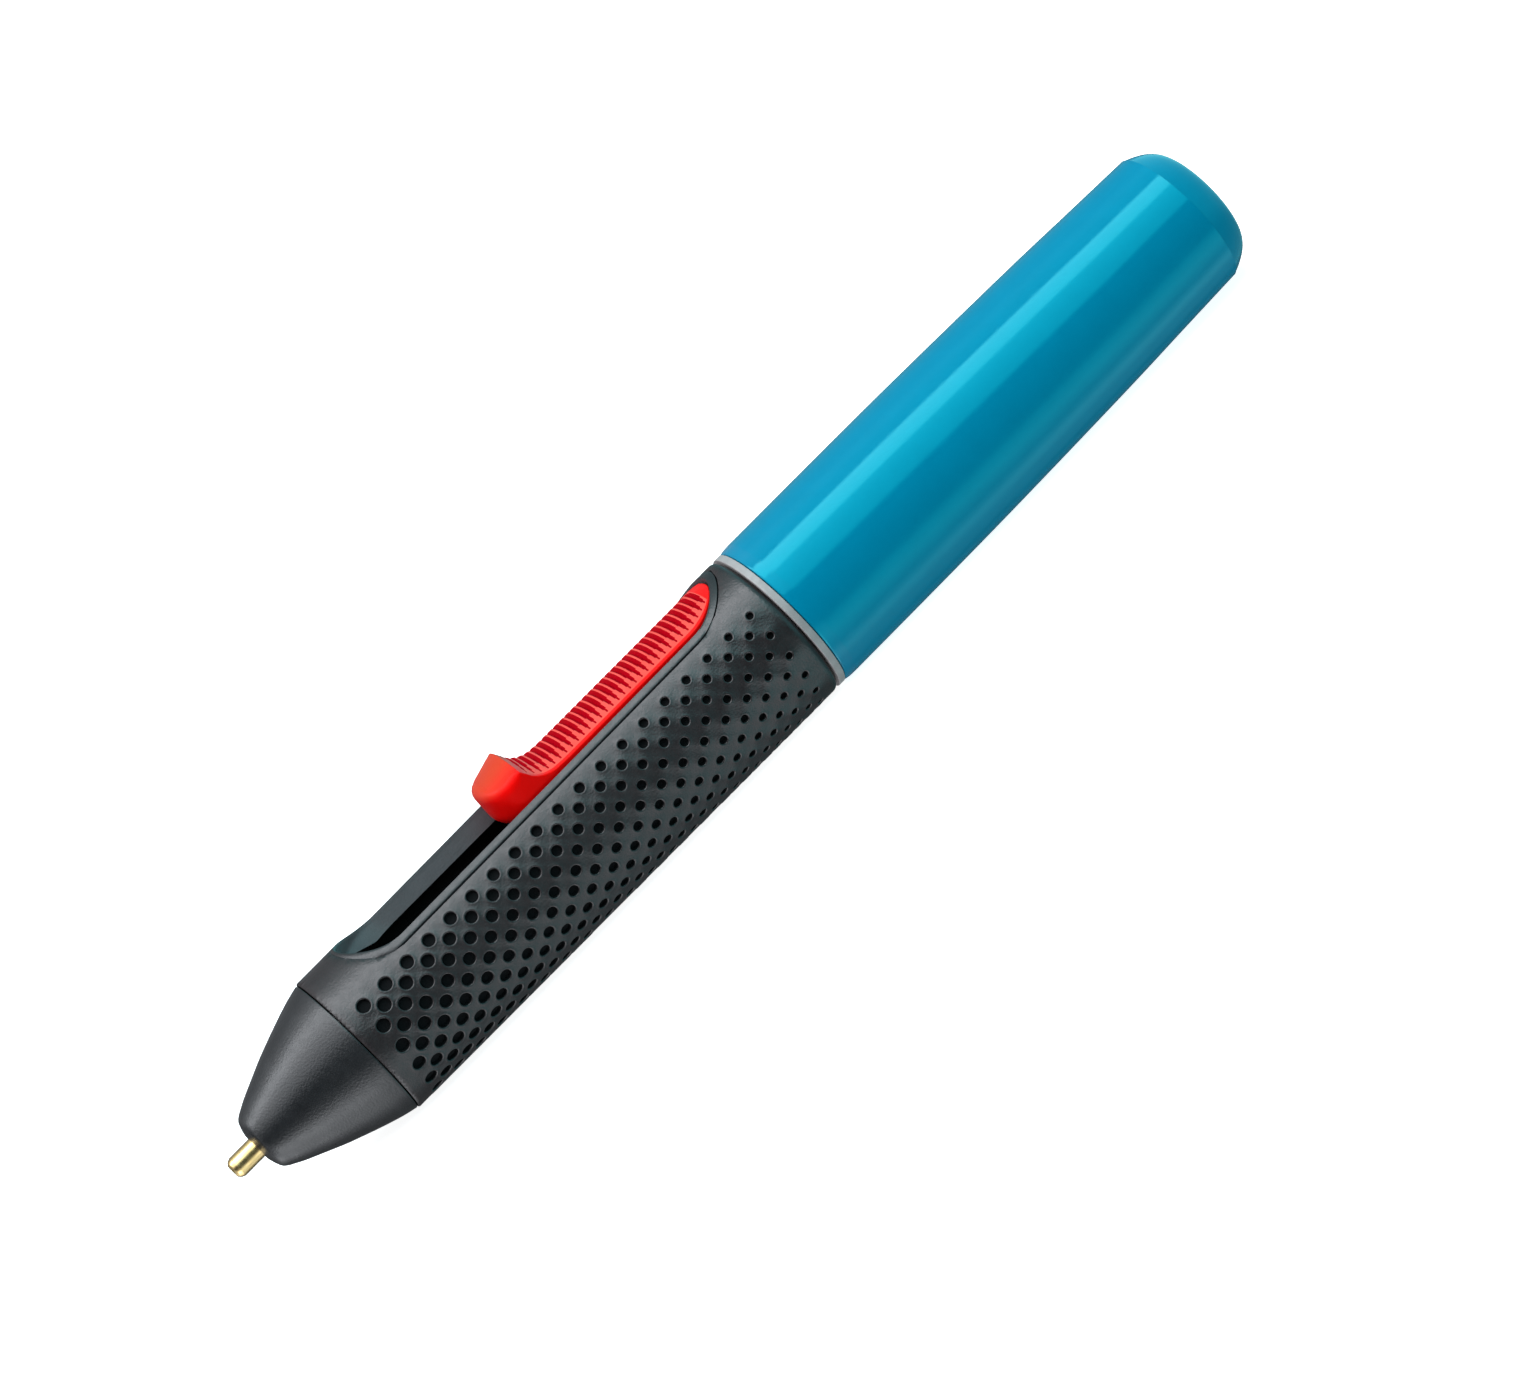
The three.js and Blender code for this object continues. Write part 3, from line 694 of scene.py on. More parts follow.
def slider_top(x, y):
    """Station and height of a place on the slider's top: crowned across, with grooves on the pad."""
    share = along(x - NOSE_CREST, 0.0, CROWN_CHANGE)
    crown = NOSE_CROWN_R + (PAD_CROWN_R - NOSE_CROWN_R) * share
    height = ridge_height(x) - (crown - math.sqrt(crown * crown - y * y))
    depth = max(groove_depth(x, y), 0.0)
    slope = (ridge_height(x + 0.05) - ridge_height(x - 0.05)) / 0.1
    steep = math.hypot(1.0, slope)
    return x + depth * slope / steep, height - depth / steep


def slider_foot(x):
    """Height of the slider's lower edge."""
    return SLIDER_FOOT + (REAR_FOOT - SLIDER_FOOT) * along(x, *FOOT_STEP)


def slider_stations():
    """Stations of the slider's cross lines, close together where the shape turns."""
    stations = [NOSE_FRONT + NOSE_REACH * (1 - math.cos(math.pi / 2 * k / 14)) for k in range(15)]
    stations += [NOSE_CREST + step for step in (-0.85, -0.45, -0.2, -0.08, 0.05)]
    steps = 8
    first = ARC.at(NOSE_CREST + 0.2)
    ribs = [RIB_FIRST + RIB_PITCH * (k / steps - 0.5) for k in range(steps * RIB_COUNT + 1)]
    stations += [ARC.station(length) for length in ribs if length > first]
    last = stations[-1]
    centre = PAD_REAR - PAD_REAR_REACH
    start = math.asin((last - centre) / PAD_REAR_REACH)
    for k in range(1, 15):
        stations.append(centre + PAD_REAR_REACH * math.sin(start + (math.pi / 2 - start) * k / 14))
    return stations


def edge_round(x):
    """Radius of the rounding along the top's edge: large round the nose's roof."""
    share = along(x, *NOSE_ROUND_ENDS)
    return EDGE_ROUND + (NOSE_ROUND - EDGE_ROUND) * share * share * (3 - 2 * share)


def undercut(height):
    """How far the nose's front lies back at a height."""
    drop = min(max(UNDERCUT_TOP - height, 0.0), UNDERCUT_R)
    return UNDERCUT_R - math.sqrt(UNDERCUT_R ** 2 - drop * drop)


TOP_ROWS = 44
EDGE_RINGS, SIDE_RINGS = 5, 14


def slider_grid(stations):
    """The top's points and faces, its cross lines of point numbers, and the finish of each face."""
    even = [-1 + 2 * k / TOP_ROWS for k in range(TOP_ROWS + 1)]
    shares = [math.sin(math.pi / 2 * t) * 0.35 + t * 0.65 for t in even]
    points, lines = [], []
    for x in stations:
        inner_x = min(max(x, NOSE_FRONT + NOSE_ROUND), PAD_REAR - EDGE_ROUND)
        half = max(slider_half(x) - edge_round(x), 0.0)
        line = []
        for share in shares:
            line.append(len(points))
            sunk_x, height = slider_top(inner_x, half * share)
            points.append((sunk_x, half * share, height))
        lines.append(line)
    faces, finish_of = [], {}
    middles = [(x0 + x1) / 2 for x0, x1 in zip(stations, stations[1:])]
    for middle, a, b in zip(middles, lines, lines[1:]):
        for k in range(TOP_ROWS):
            depth = groove_depth(middle, (points[a[k]][1] + points[b[k + 1]][1]) / 2)
            # groove faces take a darker red as painted shade, crest faces a paler red as painted highlight
            finish_of[len(faces)] = SHADED_GROOVE if depth > 0 else HIGHLIT_CREST if depth > OFF_THE_RIBS else RED
            faces.append((a[k], a[k + 1], b[k + 1], b[k]))
    return points, faces, lines, finish_of


def lower_side(x, y, z, share):
    """A point of the slider's side wall, at a share of the way down from the rounded edge."""
    height = z + (slider_foot(x) - z) * share
    narrowing = along(height, SLOPE_TOP, SLIDER_FOOT)
    low_y = y * (1 - (1 - SLIDER_LOW_HALF / SLIDER_HALF) * narrowing)
    low_x = x + undercut(height) * max(NOSE_SIDES_FROM - x, 0.0) / NOSE_REACH
    return low_x, low_y, height


def make_slider():
    """The top as a grid of cross lines, then rings down its rounded edge and its sloping sides."""
    stations = slider_stations()
    points, faces, lines, finish_of = slider_grid(stations)

    def join(previous, places):
        ring = list(range(len(points), len(points) + len(places)))
        points.extend(places)
        faces.extend((previous[i - 1], previous[i], ring[i], ring[i - 1]) for i in range(len(ring)))
        return ring

    # the rim of the top, as one loop: one side, the back, the other side, the front
    rim = [line[-1] for line in lines] + list(reversed(lines[-1][1:-1]))
    rim += [line[0] for line in reversed(lines)] + list(lines[0][1:-1])
    outline = [(x, slider_half(x)) for x in stations] + [(PAD_REAR, 0.0)] * (TOP_ROWS - 1)
    outline += [(x, -slider_half(x)) for x in reversed(stations)] + [(NOSE_FRONT, 0.0)] * (TOP_ROWS - 1)
    previous = rim
    for k in range(1, EDGE_RINGS + 1):
        angle = math.pi / 2 * k / EDGE_RINGS
        out, down = math.sin(angle), 1 - math.cos(angle)
        places = []
        for (x, y), index in zip(outline, rim):
            ix, iy, iz = points[index]
            places.append((*between((ix, iy), (x, y), out), iz - edge_round(x) * down))
        previous = join(previous, places)
    start = [points[i] for i in previous]
    for step in range(1, SIDE_RINGS + 1):
        previous = join(previous, [lower_side(*place, step / SIDE_RINGS) for place in start])
    return make_piece("thumb_slider", points, faces, 36.0, finish_of)


# ---- turned shells
# Outlines of (station, radius) points; those given to fillet also have each corner's rounding radius.

def make_cone():
    outline = [(4.82, 1.82), (4.73, 1.86), (4.7, 1.95)]
    outline += through([(4.7, 2.1), (4.75, 2.5), (5.0, 3.4), (5.4, 4.32), (6.0, 4.87), (6.9, 5.38),
                        (8.26, 6.09), (11.02, 7.31), (13.78, 8.5), (16.55, 9.54), (19.32, 10.52),
                        (22.09, 11.4), (CONE_REAR - 0.12, 11.9)], 4)
    outline += [(CONE_REAR - 0.02, 11.87), (CONE_REAR, 11.78), (CONE_REAR, 9.0), (28.9, 9.0), (28.9, 8.35),
                (23, 8.35), (20, 9.0), (16.5, 8.3), (11, 6.0), (8.3, 4.7), (7.0, 3.9), (7.0, 1.82)]
    return turn("nozzle_cone_skin", outline)


def make_tip():
    outline = fillet([(0, 0.7, 0.1), (0, 1.0, 0.05), (0.35, 1.42, 0.6), (0.9, 1.68, 0.7), (8, 1.68, 0),
                      (8, 3.2, 0.1), (10, 3.2, 0.1), (10, 2.4, 0), (14, 2.4, 0.1), (14, 1.6, 0),
                      (6, 1.4, 0), (5, 0.7, 0)])
    return turn("nozzle_tip_turned", outline, 64)


def make_trim():
    first, last = GRIP_REAR + SEAM, span("battery_cap")[0] - SEAM
    outline = fillet([(first, 11.0, 0), (first, 12.5, 0.12), (last, 12.5, 0.12), (last, 11.0, 0)])
    return turn("trim_ring_turned", outline, 160, REST_DROP)


CAP_SIDE = [(110.0, 12.52), (110.7, 12.62), (111.6, 12.65), (113, 12.655), (127, 12.655), (141, 12.6),
            (156, 12.4), (170.6, 12.12), (179.5, 11.84), (186, 11.65), (191.1, 11.5), (191.5, 11.49)]
CAP_END = [(191.5, 11.49), (191.9, 11.33), (192.9, 10.92), (194.2, 10.22), (195.15, 9.45), (195.8, 8.6),
           (196.25, 7.4), (LENGTH, 5.4)]


def make_cap():
    first = span("battery_cap")[0]
    outline = [(first + 0.04, 12.38), (first, 12.3), (first, 11.1), (first + 0.1, 11.0), (150, 10.9),
               (180, 10.4), (190, 10.1), (193, 9.6), (194.6, 9.1), (194.6, 0), (LENGTH, 0), (LENGTH, 3)]
    outline += list(reversed(through(CAP_END, 4)))
    outline += list(reversed(through(CAP_SIDE, 5)))[1:]
    outline += [(first + 0.12, 12.46)]
    return turn("battery_cap_shell", outline, 160, REST_DROP)


def make_tube():
    first, last = span("battery_tube")
    outline = fillet([(first, 7.6, 0.1), (first, 8.3, 0.2), (last, 8.3, 0.3), (last, 7.6, 0.15)])
    return turn("battery_tube_turned", outline, 96)


def make_cell(node):
    """A round cell: positive nub, shoulder, wrap and flat negative end."""
    first, last = span(node)
    outline = [(first, 0), (first, 2.3), (first + 0.15, 2.6), (first + 1.2, 2.75), (first + 1.2, 5.6),
               (first + 1.25, 6.7), (first + 1.6, 7.1), (first + 2.1, 7.25), (last - 0.5, 7.25),
               (last - 0.15, 7.0), (last - 0.15, 5.2), (last, 4.9), (last, 0)]
    return turn(node + "_turned", outline, 96)


def make_barrel():
    outline = fillet([(10.3, 2.7, 0.1), (10.3, 4.2, 0.3), (14.8, 4.2, 0), (14.8, 5.0, 0.3), (33, 5.0, 0.2),
                      (33, 3.6, 0.1), (20, 3.6, 0), (16, 2.0, 0), (14.4, 2.0, 0), (14.4, 2.7, 0)])
    return turn("melt_barrel_turned", outline, 64)


def make_inlet():
    outline = fillet([(27, 5.3, 0.1), (27, 6.5, 0.3), (36, 6.5, 0.35), (36, 4.4, 0.3), (33.3, 3.7, 0),
                      (33.3, 5.3, 0)])
    return turn("inlet_sleeve_moulded", outline, 64)


# ---- materials

class Graph:
    """Adds and links nodes in the tree of a material or of the world."""

    def __init__(self, tree):
        self.tree = tree

    def add(self, kind, **settings):
        node = self.tree.nodes.new(kind)
        for key, value in settings.items():
            if hasattr(node, key):
                setattr(node, key, value)
            else:
                node.inputs[key.replace("_", " ")].default_value = value
        return node

    def feed(self, socket, value):
        """Gives an input another node's output, or a plain number, colour or vector."""
        if hasattr(value, "is_output"):
            self.tree.links.new(value, socket)
        else:
            socket.default_value = (*value, 1.0) if socket.type == "RGBA" else value

    def math(self, operation, *values):
        node = self.add("ShaderNodeMath", operation=operation)
        for socket, value in zip(node.inputs, values):
            self.feed(socket, value)
        return node.outputs["Value"]

    def product(self, first, second):
        return self.math("MULTIPLY", first, second)

    def remap(self, value, start, end, low, high):
        """Maps a value between start and end onto low to high."""
        node = self.add("ShaderNodeMapRange", From_Min=start, From_Max=end, To_Min=low, To_Max=high)
        self.feed(node.inputs["Value"], value)
        return node.outputs["Result"]

    def parts(self, vector):
        """The X, Y and Z of a vector."""
        node = self.add("ShaderNodeSeparateXYZ")
        self.feed(node.inputs["Vector"], vector)
        return node.outputs

    def vector(self, operation, first, second):
        node = self.add("ShaderNodeVectorMath", operation=operation)
        self.feed(node.inputs[0], first)
        self.feed(node.inputs["Scale" if operation == "SCALE" else 1], second)
        return node.outputs["Vector"]


class Finish(Graph):
    """A material's nodes, with its shader and the object's own coordinates."""

    def __init__(self, material):
        super().__init__(material.node_tree)
        self.material = material
        self.shader = next(n for n in self.tree.nodes if n.type == "BSDF_PRINCIPLED")
        self.place = self.add("ShaderNodeTexCoord").outputs["Object"]

    @classmethod
    def new(cls, name):
        material = bpy.data.materials.new(name)
        material.use_nodes = True
        return cls(material)

    def set(self, name, value):
        self.feed(self.shader.inputs[name], value)

    def noise(self, size_mm, low, high, detail):
        """A number between low and high, in blobs of about size_mm across."""
        return self.remap(self.blobs(size_mm, detail), 0.3, 0.7, low, high)

    def blobs(self, size_mm, detail):
        node = self.add("ShaderNodeTexNoise", Scale=1.0 / (size_mm * MM), Detail=detail, Roughness=0.55)
        self.feed(node.inputs["Vector"], self.place)
        return node.outputs["Fac"]

    def blend(self, share, first, second):
        """A colour between two, by a 0 to 1 share."""
        node = self.add("ShaderNodeMix", data_type="RGBA")
        self.feed(node.inputs["Factor"], share)
        colours = [s for s in node.inputs if s.type == "RGBA"]
        self.feed(colours[0], first)
        self.feed(colours[1], second)
        return next(s for s in node.outputs if s.type == "RGBA")

    def bump(self, height, depth_mm, strength=1.0):
        node = self.add("ShaderNodeBump", Strength=strength, Distance=depth_mm * MM)
        self.feed(node.inputs["Height"], height)
        return node.outputs["Normal"]


HANDLED_AT, HANDLED_REACH = 58.0, 42.0      # the middle of the grip is a little duller from handling
HANDLED_DULLER = 0.09


def handled(finish):
    """0 to 1: how much a place along the pen is handled."""
    middle = to_frame((HANDLED_AT, 0, 0))[0]
    reach = HANDLED_REACH * MM
    away = finish.remap(finish.parts(finish.place)["X"], middle - reach, middle + reach, -1.0, 1.0)
    return finish.remap(finish.product(away, away), 0.0, 1.0, 1.0, 0.0)


def grained_plastic(name, dark, light, roughness, grain_mm, grain_depth_mm, tint=None, gloss=0.5,
                    ior=1.45, wear=0.0):
    """Moulded plastic or rubber: mottled colour, spark-eroded grain and an uneven gloss."""
    finish = Finish.new(name)
    mottled = finish.blend(finish.noise(3.5, 0.0, 1.0, 5.0), dark, light)
    finish.set("Base Color", finish.blend(finish.noise(grain_mm, 0.0, 0.5, 2.0), mottled, light))
    uneven = finish.noise(1.2, roughness - 0.04, roughness + 0.05, 4.0)
    if wear:
        uneven = finish.math("MULTIPLY_ADD", handled(finish), wear, uneven)
    finish.set("Roughness", uneven)
    finish.set("Normal", finish.bump(finish.blobs(grain_mm, 2.0), grain_depth_mm))
    finish.set("Specular IOR Level", gloss)
    finish.set("IOR", ior)
    if tint:
        finish.set("Specular Tint", tint)
    return finish.material


def metal(name, dark, light, roughness, brushed_mm=0.25, metallic=1.0):
    """Machined or plated metal with fine turning marks and smudges."""
    finish = Finish.new(name)
    finish.set("Base Color", finish.blend(finish.noise(2.0, 0.0, 1.0, 5.0), dark, light))
    finish.set("Roughness", finish.noise(0.9, roughness - 0.07, roughness + 0.08, 4.0))
    stretch = finish.add("ShaderNodeMapping", Scale=(1.0, 0.08, 0.08))
    finish.feed(stretch.inputs["Vector"], finish.place)
    marks = finish.add("ShaderNodeTexNoise", Scale=1.0 / (brushed_mm * MM), Detail=2.0)
    finish.feed(marks.inputs["Vector"], stretch.outputs["Vector"])
    finish.set("Normal", finish.bump(marks.outputs["Fac"], 0.004, 0.5))
    finish.set("Metallic", metallic)
    return finish.material


RED_TINT = (1.0, 0.1, 0.09)
BLUE_TINT = (0.05, 1.0, 1.0)

# name: dark and light colour, roughness, grain size and depth in millimetres, and what is special
PLASTICS = {
    # painted light: the black shell's colour made lighter for the slot's wall, where light falls on it
    "slot_wall_painted_light": ((0.044, 0.043, 0.046), (0.056, 0.055, 0.059), 0.45, 0.32, 0.03, {}),
    "silicone": ((0.30, 0.28, 0.24), (0.38, 0.35, 0.30), 0.6, 0.3, 0.006, {}),
    "ceramic": ((0.46, 0.45, 0.41), (0.55, 0.53, 0.49), 0.35, 0.4, 0.004, {}),
    "board": ((0.008, 0.06, 0.027), (0.014, 0.09, 0.04), 0.4, 0.5, 0.004, {}),
    "seal": ((0.006, 0.006, 0.006), (0.01, 0.01, 0.01), 0.45, 0.3, 0.004, {}),
    "cell_wrap": ((0.012, 0.13, 0.05), (0.018, 0.17, 0.07), 0.3, 0.6, 0.002, {}),
    "light_pipe": ((0.5, 0.48, 0.43), (0.58, 0.56, 0.5), 0.2, 0.5, 0.002, {}),
    "lead_red": ((0.3, 0.006, 0.006), (0.36, 0.01, 0.01), 0.4, 0.3, 0.003, {}),
    "lead_black": ((0.006, 0.006, 0.006), (0.01, 0.01, 0.01), 0.4, 0.3, 0.003, {}),
    "soft_grip": ((0.0072, 0.0049, 0.0054), (0.0112, 0.0085, 0.0092), 0.32, 0.34, 0.045,
                  {"wear": HANDLED_DULLER}),
    "hard_shell": ((0.0044, 0.0049, 0.0057), (0.0076, 0.0084, 0.0096), 0.31, 0.32, 0.04,
                   {"wear": HANDLED_DULLER}),
    # painted shade in the dimples' pits; also the dark joint round the rim and the walls at the sleeve's
    # seams and openings
    "dimple_shade_and_dark_joint": ((0.0034, 0.0037, 0.0041), (0.005, 0.0055, 0.006), 0.85, 0.24, 0.01, {"gloss": 0.05}),
    "inner_plastic": ((0.002, 0.002, 0.002), (0.004, 0.004, 0.004), 0.6, 0.3, 0.01, {"gloss": 0.15}),
    "slider_red": ((0.50, 0.0004, 0.0002), (0.58, 0.0008, 0.0004), 0.38, 0.3, 0.012,
                   {"tint": RED_TINT}),
    # painted shade: a darker, duller red for the grooves between the ribs
    "slider_groove_shade": ((0.235, 0.0001, 0.003), (0.27, 0.0002, 0.005), 0.6, 0.3, 0.006,
                      {"tint": RED_TINT, "gloss": 0.02}),
    # painted highlight: a paler red for the crests of the ribs
    "slider_crest_highlight": ((0.5, 0.04, 0.03), (0.58, 0.06, 0.045), 0.45, 0.3, 0.006, {"tint": RED_TINT}),
    "cap_blue": ((0.0, 0.126, 0.212), (0.0, 0.134, 0.224), 0.08, 0.6, 0.0004,
                 {"tint": BLUE_TINT, "ior": 1.42}),
}
METALS = {
    "brass": ((0.50, 0.36, 0.15), (0.62, 0.47, 0.22), 0.28, {}),
    "aluminium": ((0.45, 0.46, 0.48), (0.6, 0.61, 0.63), 0.42, {}),
    "steel": ((0.42, 0.43, 0.45), (0.58, 0.59, 0.61), 0.34, {}),
    "trim": ((0.185, 0.172, 0.17), (0.23, 0.215, 0.213), 0.6, {"metallic": 0.1}),
}
ROOF_HIGHLIGHT_RED = (0.40, 0.028, 0.008)    # painted highlight: the nose's roof is painted a paler red where it faces the light above
ROOF_FROM = (12.3, 14.0)           # its height at the nose's front, start and full
ROOF_RISE = 0.25                   # how fast those heights rise along the pen


def paint_roof_highlight(material):
    """Blends the red towards a paler red, a painted highlight, above a plane that rises along the nose."""
    finish = Finish(material)
    place = finish.parts(finish.place)
    lift = finish.math("MULTIPLY_ADD", place["X"], -ROOF_RISE, place["Z"])
    start, full = (to_frame((NOSE_FRONT, 0, height)) for height in ROOF_FROM)
    share = finish.remap(lift, start[2] - ROOF_RISE * start[0], full[2] - ROOF_RISE * full[0], 0.0, 1.0)
    red = finish.shader.inputs["Base Color"].links[0].from_socket
    finish.set("Base Color", finish.blend(share, red, ROOF_HIGHLIGHT_RED))


MATERIALS = {}
for name, (*numbers, special) in PLASTICS.items():
    MATERIALS[name] = grained_plastic(name, *numbers, **special)
for name, (*numbers, special) in METALS.items():
    MATERIALS[name] = metal(name, *numbers, **special)
# painted highlight on the nose's roof
paint_roof_highlight(MATERIALS["slider_red"])

for entry in frame["record"]["subparts"]:
    node = bpy.data.objects.get(entry["node"])
    for slot in node.material_slots if node else ():
        slot.material = MATERIALS[entry["material_slot"]]


def put(piece, finish, node, body="pen_body", others=()):
    """Gives a piece its finishes, its body and the CAD node that it stands for."""
    for name in (finish, *others):
        piece.data.materials.append(MATERIALS[name])
    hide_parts(node)
    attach(piece, body)


# the grip's second finish is painted shade in the dimples' pits, and dark on the walls at its seams
put(make_grip(), "soft_grip", "grip_sleeve", others=["dimple_shade_and_dark_joint"])
# the rim's third finish is painted light on the slot's wall
put(make_rim(), "hard_shell", "slot_frame", others=["dimple_shade_and_dark_joint", "slot_wall_painted_light"])
# the slider's other finishes are painted shade in the grooves and painted highlight on the crests
put(make_slider(), "slider_red", "slider", "slider", others=["slider_groove_shade", "slider_crest_highlight"])
put(make_cone(), "hard_shell", "nozzle_cone")
put(make_tip(), "brass", "nozzle_tip")
put(make_trim(), "trim", "trim_ring")
put(make_cap(), "cap_blue", "battery_cap", "cap")
put(make_barrel(), "aluminium", "melt_barrel")
put(make_inlet(), "silicone", "inlet_sleeve")
put(make_tube(), "inner_plastic", "battery_tube")
for cell in ("battery_cell_front", "battery_cell_rear"):
    put(make_cell(cell), "cell_wrap", cell)


# ---- floor

FLOOR_GLOW = 0.9
FLOOR_SIZE = 6.0           # half the floor's side, in metres
FLOOR_DROP = 0.02 * MM     # it lies a hair below the pen's flats, so that they don't share a plane


def make_floor():
    mesh = bpy.data.meshes.new("studio_floor")
    sides = [(-1, -1), (1, -1), (1, 1), (-1, 1)]
    corners = [(x * FLOOR_SIZE, y * FLOOR_SIZE, -FLOOR_DROP) for x, y in sides]
    mesh.from_pydata(corners, [], [(0, 1, 2, 3)])
    floor = bpy.data.objects.new("studio_floor", mesh)
    bpy.context.scene.collection.objects.link(floor)
    finish = Finish.new("studio_floor")
    finish.set("Base Color", finish.blend(finish.blobs(400.0, 2.0), (0.48, 0.48, 0.48), (0.5, 0.5, 0.5)))
    finish.set("Roughness", 0.9)
    finish.set("Specular IOR Level", 0.0)
    finish.set("Emission Color", (1.0, 1.0, 1.0))
    finish.set("Emission Strength", FLOOR_GLOW)
    mesh.materials.append(finish.material)
    floor.visible_diffuse = False
    floor.visible_glossy = False
    floor.visible_shadow = False
    floor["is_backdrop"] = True


# ---- light
# The light comes from a studio tent round the pen, with bands along it. Each band's stop is an angle
# round the pen's length, in degrees (0 is the horizon in front of it, 90 straight above, -90 straight
# below), and a brightness. X is the direction along the pen: -1 beyond the nozzle, 1 beyond the cap.

TENT_BANDS = [
    (-180, 0.3), (-165, 0.1), (-112, 0.1), (-90, 0.55), (-75, 1.7), (-60, 0.9), (-42, 2.4), (-30, 1.9),
    (-20, 0.35), (-8, 0.1), (29, 0.1), (33, 0.3), (36, 3.0), (55, 4.0), (68, 5.0), (70.5, 9.0),
    (91, 9.0), (93.5, 1.4), (115, 1.2), (130, 0.5), (150, 0.3), (180, 0.3)]
TENT_PEAK = 9.0
TENT_TINT = (0.955, 0.985, 1.03)
VIEW_RISE = math.radians(18.3)       # how high the camera stands, as an angle

# Behind and below the cap hangs cyan cloth, from the first X to the second.
CAP_CLOTH_FROM = (0.160, 0.172)
CAP_CLOTH = 0.5                      # how much red it leaves in the light
STRIP = (68, 92)                     # the bare lamp keeps its own colour between these angles

# The bands turn towards the rear.
TENT_TWIST = math.radians(52.0)      # by this angle per unit of X
TENT_TWIST_FROM, TENT_TWIST_MID, TENT_TWIST_TO = 0.12, 0.17, 0.3

# In front of the nozzle they are closer together and dimmer.
NOZZLE_SIDE_FROM = (-0.2, -0.6)
NOZZLE_SPREAD = 0.74
LOW_BANDS, HIGH_BANDS = 2.4, 0.75    # their brightness there, against the rest of the tent
NOZZLE_FADE = (-0.74, -0.82)
NOZZLE_FADE_TO = 0.28

# Behind the cap they end at a plain wall.
END_WALL_FROM = (0.40, 0.46)
END_WALL_HIGH, END_WALL_LOW = 1.1, 0.4
END_WALL_TINT = (0.3, 0.98, 1.04)
BACKDROP = 0.98


def angle_round_pen(graph, x, y, z, nozzle_side):
    """The angle that picks the band in a direction, with the bands' spread and twist."""
    angle = graph.math("ARCTAN2", z, graph.product(y, -1.0))
    spread = graph.math("ADD", graph.product(nozzle_side, NOZZLE_SPREAD - 1.0), 1.0)
    offset = graph.product(graph.math("SUBTRACT", angle, VIEW_RISE), spread)
    lean = graph.math("MAXIMUM", graph.math("MINIMUM", x, TENT_TWIST_TO), TENT_TWIST_FROM)
    lean = graph.product(graph.math("SUBTRACT", lean, TENT_TWIST_MID), TENT_TWIST)
    return graph.math("ADD", graph.math("ADD", offset, VIEW_RISE), lean)


def band_ramp(graph, angle):
    """The bands' colours by angle; their alpha is 1 where the lamp is bare."""
    ramp = graph.add("ShaderNodeValToRGB")
    stops = ramp.color_ramp.elements
    while len(stops) < len(TENT_BANDS):
        stops.new(1.0)
    for stop, (degrees, brightness) in zip(stops, TENT_BANDS):
        stop.position = degrees / 360.0 + 0.5
        bare = 1.0 if STRIP[0] < degrees < STRIP[1] else 0.0
        stop.color = (*(channel * brightness / TENT_PEAK for channel in TENT_TINT), bare)
    graph.feed(ramp.inputs["Fac"], graph.remap(angle, -math.pi, math.pi, 0.0, 1.0))
    return ramp.outputs


def cap_cloth(graph, x, bare):
    """The colour that the cloth beside the cap gives the light."""
    share = graph.remap(x, *CAP_CLOTH_FROM, 0.0, 1.0 - CAP_CLOTH)
    taken = graph.product(graph.math("SUBTRACT", 1.0, bare), share)
    cloth = graph.add("ShaderNodeCombineXYZ", Y=1.0, Z=1.0)
    graph.feed(cloth.inputs["X"], graph.math("SUBTRACT", 1.0, taken))
    return cloth.outputs["Vector"]


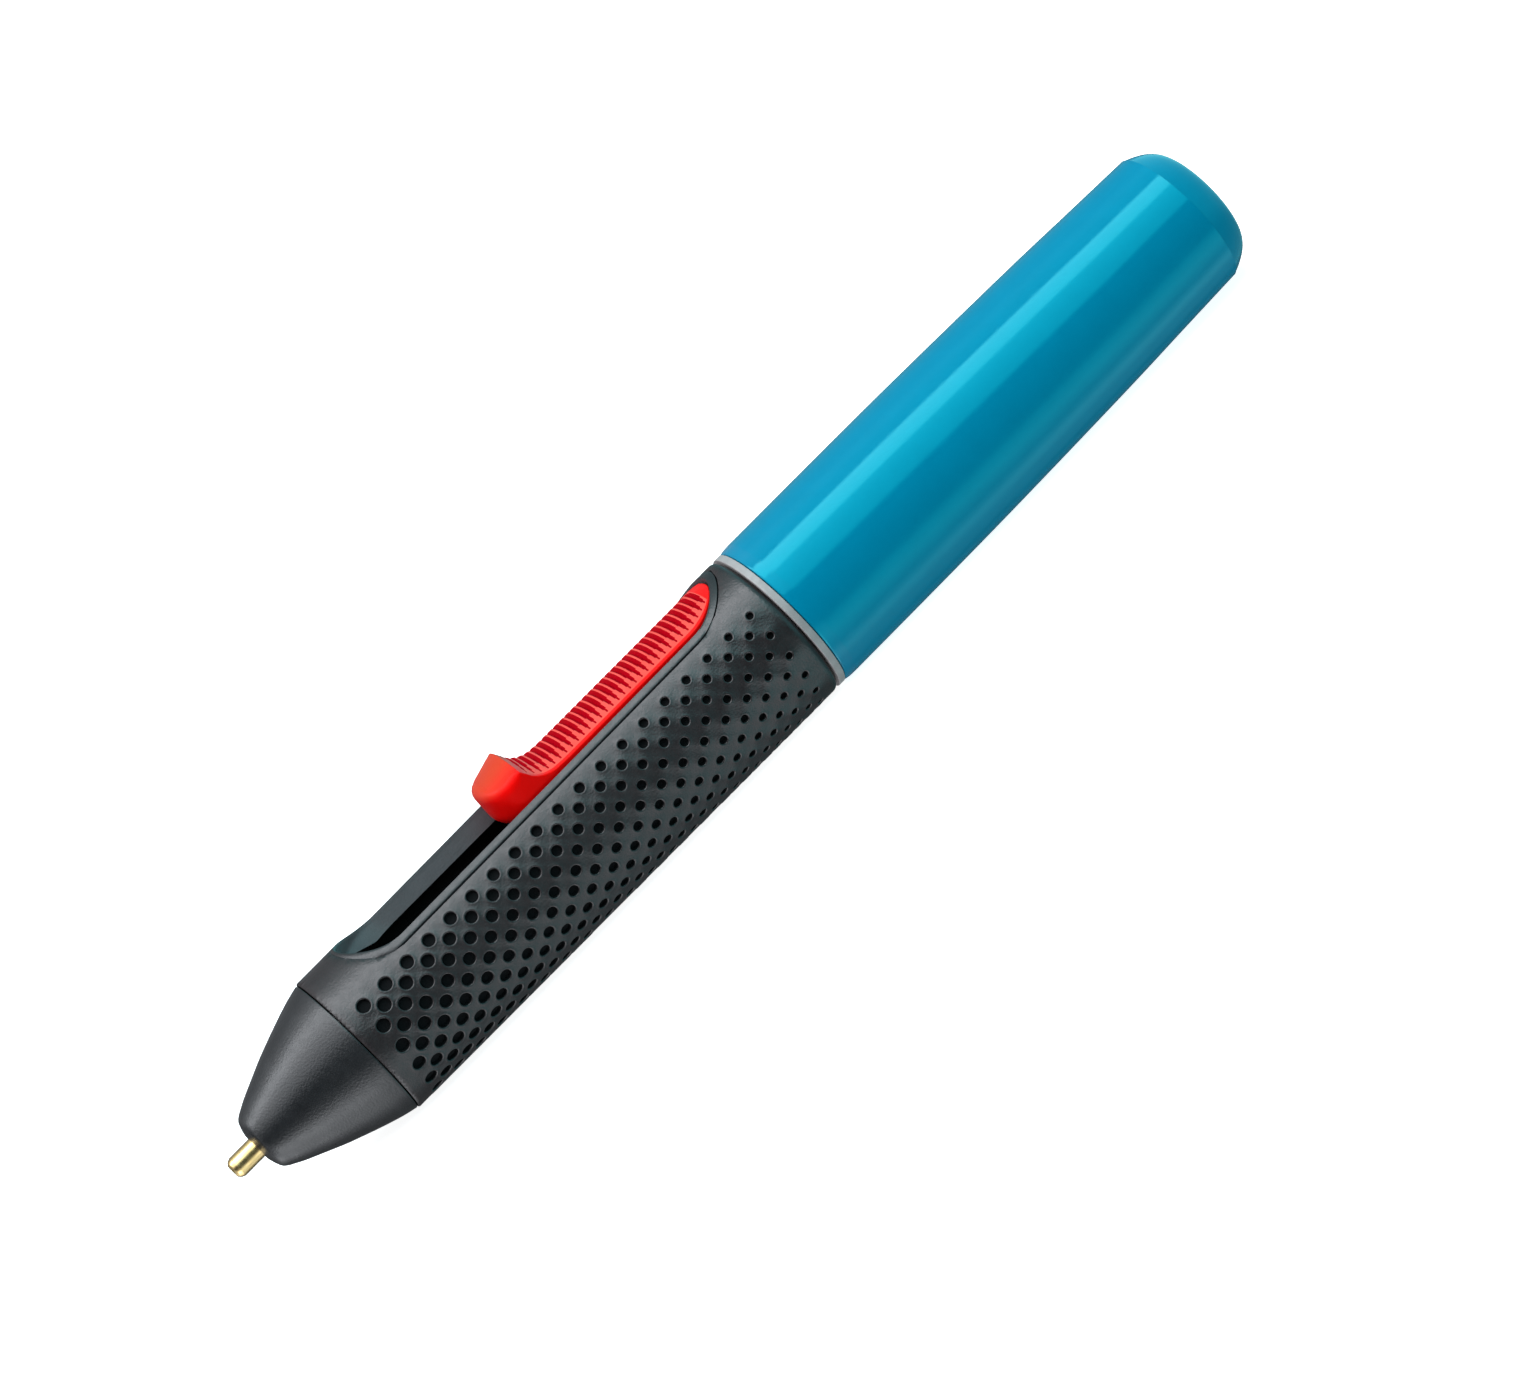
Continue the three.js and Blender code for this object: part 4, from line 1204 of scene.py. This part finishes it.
def make_tent():
    world = bpy.data.worlds.new("studio_tent")
    world.use_nodes = True
    graph = Graph(world.node_tree)
    x, y, z = graph.parts(graph.add("ShaderNodeTexCoord").outputs["Generated"])
    nozzle_side = graph.remap(x, *NOZZLE_SIDE_FROM, 0.0, 1.0)
    ramp = band_ramp(graph, angle_round_pen(graph, x, y, z, nozzle_side))

    by_height = graph.remap(z, 0.05, -0.05, HIGH_BANDS - 1.0, LOW_BANDS - 1.0)
    by_side = graph.math("ADD", graph.product(by_height, nozzle_side), 1.0)
    fade = graph.remap(x, *NOZZLE_FADE, 1.0, NOZZLE_FADE_TO)
    wall_share = graph.remap(x, *END_WALL_FROM, 0.0, 1.0)
    strength = graph.product(graph.product(by_side, fade), graph.math("SUBTRACT", 1.0, wall_share))
    bands = graph.vector("SCALE", ramp["Color"], graph.product(strength, TENT_PEAK))
    bands = graph.vector("MULTIPLY", bands, cap_cloth(graph, x, ramp["Alpha"]))
    wall_light = graph.product(graph.remap(z, -0.45, -0.1, END_WALL_LOW, END_WALL_HIGH), wall_share)
    wall = graph.vector("SCALE", END_WALL_TINT, wall_light)
    tent = graph.tree.nodes["Background"]
    graph.feed(tent.inputs["Color"], graph.vector("ADD", bands, wall))

    # straight behind the pen there is a plain pale backdrop instead
    backdrop = graph.add("ShaderNodeBackground", Color=(BACKDROP, BACKDROP, BACKDROP, 1.0))
    mix = graph.add("ShaderNodeMixShader")
    graph.feed(mix.inputs["Fac"], graph.add("ShaderNodeLightPath").outputs["Is Camera Ray"])
    graph.feed(mix.inputs[1], tent.outputs["Background"])
    graph.feed(mix.inputs[2], backdrop.outputs["Background"])
    graph.feed(graph.tree.nodes["World Output"].inputs["Surface"], mix.outputs["Shader"])
    bpy.context.scene.world = world


# ---- camera

LENS_MM = 131.43
CAMERA_STATION = -23.14           # the camera stands square to the pen at this station
CAMERA_DISTANCE = 784.0           # and this far from its axis
AIM_STATION = 100.25              # it looks at this station
AIM_DROP = 6.58                   # and this far below the axis
PEN_SLOPE = (0.70314, 0.71105)    # cosine and sine of the pen's slope in the camera's view


def make_camera():
    back_up = Vector((0.0, -math.cos(VIEW_RISE), math.sin(VIEW_RISE)))
    image_up = Vector((0.0, math.sin(VIEW_RISE), math.cos(VIEW_RISE)))
    place = Vector(to_frame((CAMERA_STATION, 0, 0))) + back_up * CAMERA_DISTANCE * MM
    aim = Vector(to_frame((AIM_STATION, 0, 0))) - image_up * AIM_DROP * MM
    view = (aim - place).normalized()
    rear = (Vector((1, 0, 0)) - view * view.x).normalized()
    down = view.cross(rear)
    right = rear * PEN_SLOPE[0] + down * PEN_SLOPE[1]
    up = rear * PEN_SLOPE[1] - down * PEN_SLOPE[0]
    data = bpy.data.cameras.new("camera")
    data.sensor_fit = "HORIZONTAL"
    data.sensor_width = 36.0
    data.lens = LENS_MM
    data.clip_start = 0.01
    camera = bpy.data.objects.new("camera", data)
    axes = Matrix((right, up, -view)).transposed().to_4x4()
    camera.matrix_world = Matrix.Translation(place) @ axes
    bpy.context.scene.collection.objects.link(camera)
    bpy.context.scene.camera = camera


make_floor()
make_tent()
make_camera()
bpy.context.scene.view_settings.view_transform = "Standard"

bounds = {"cad": CAD_BOUNDS, "visual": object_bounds()}
{name: [list(map(float, corner)) for corner in box] for name, box in bounds.items()}
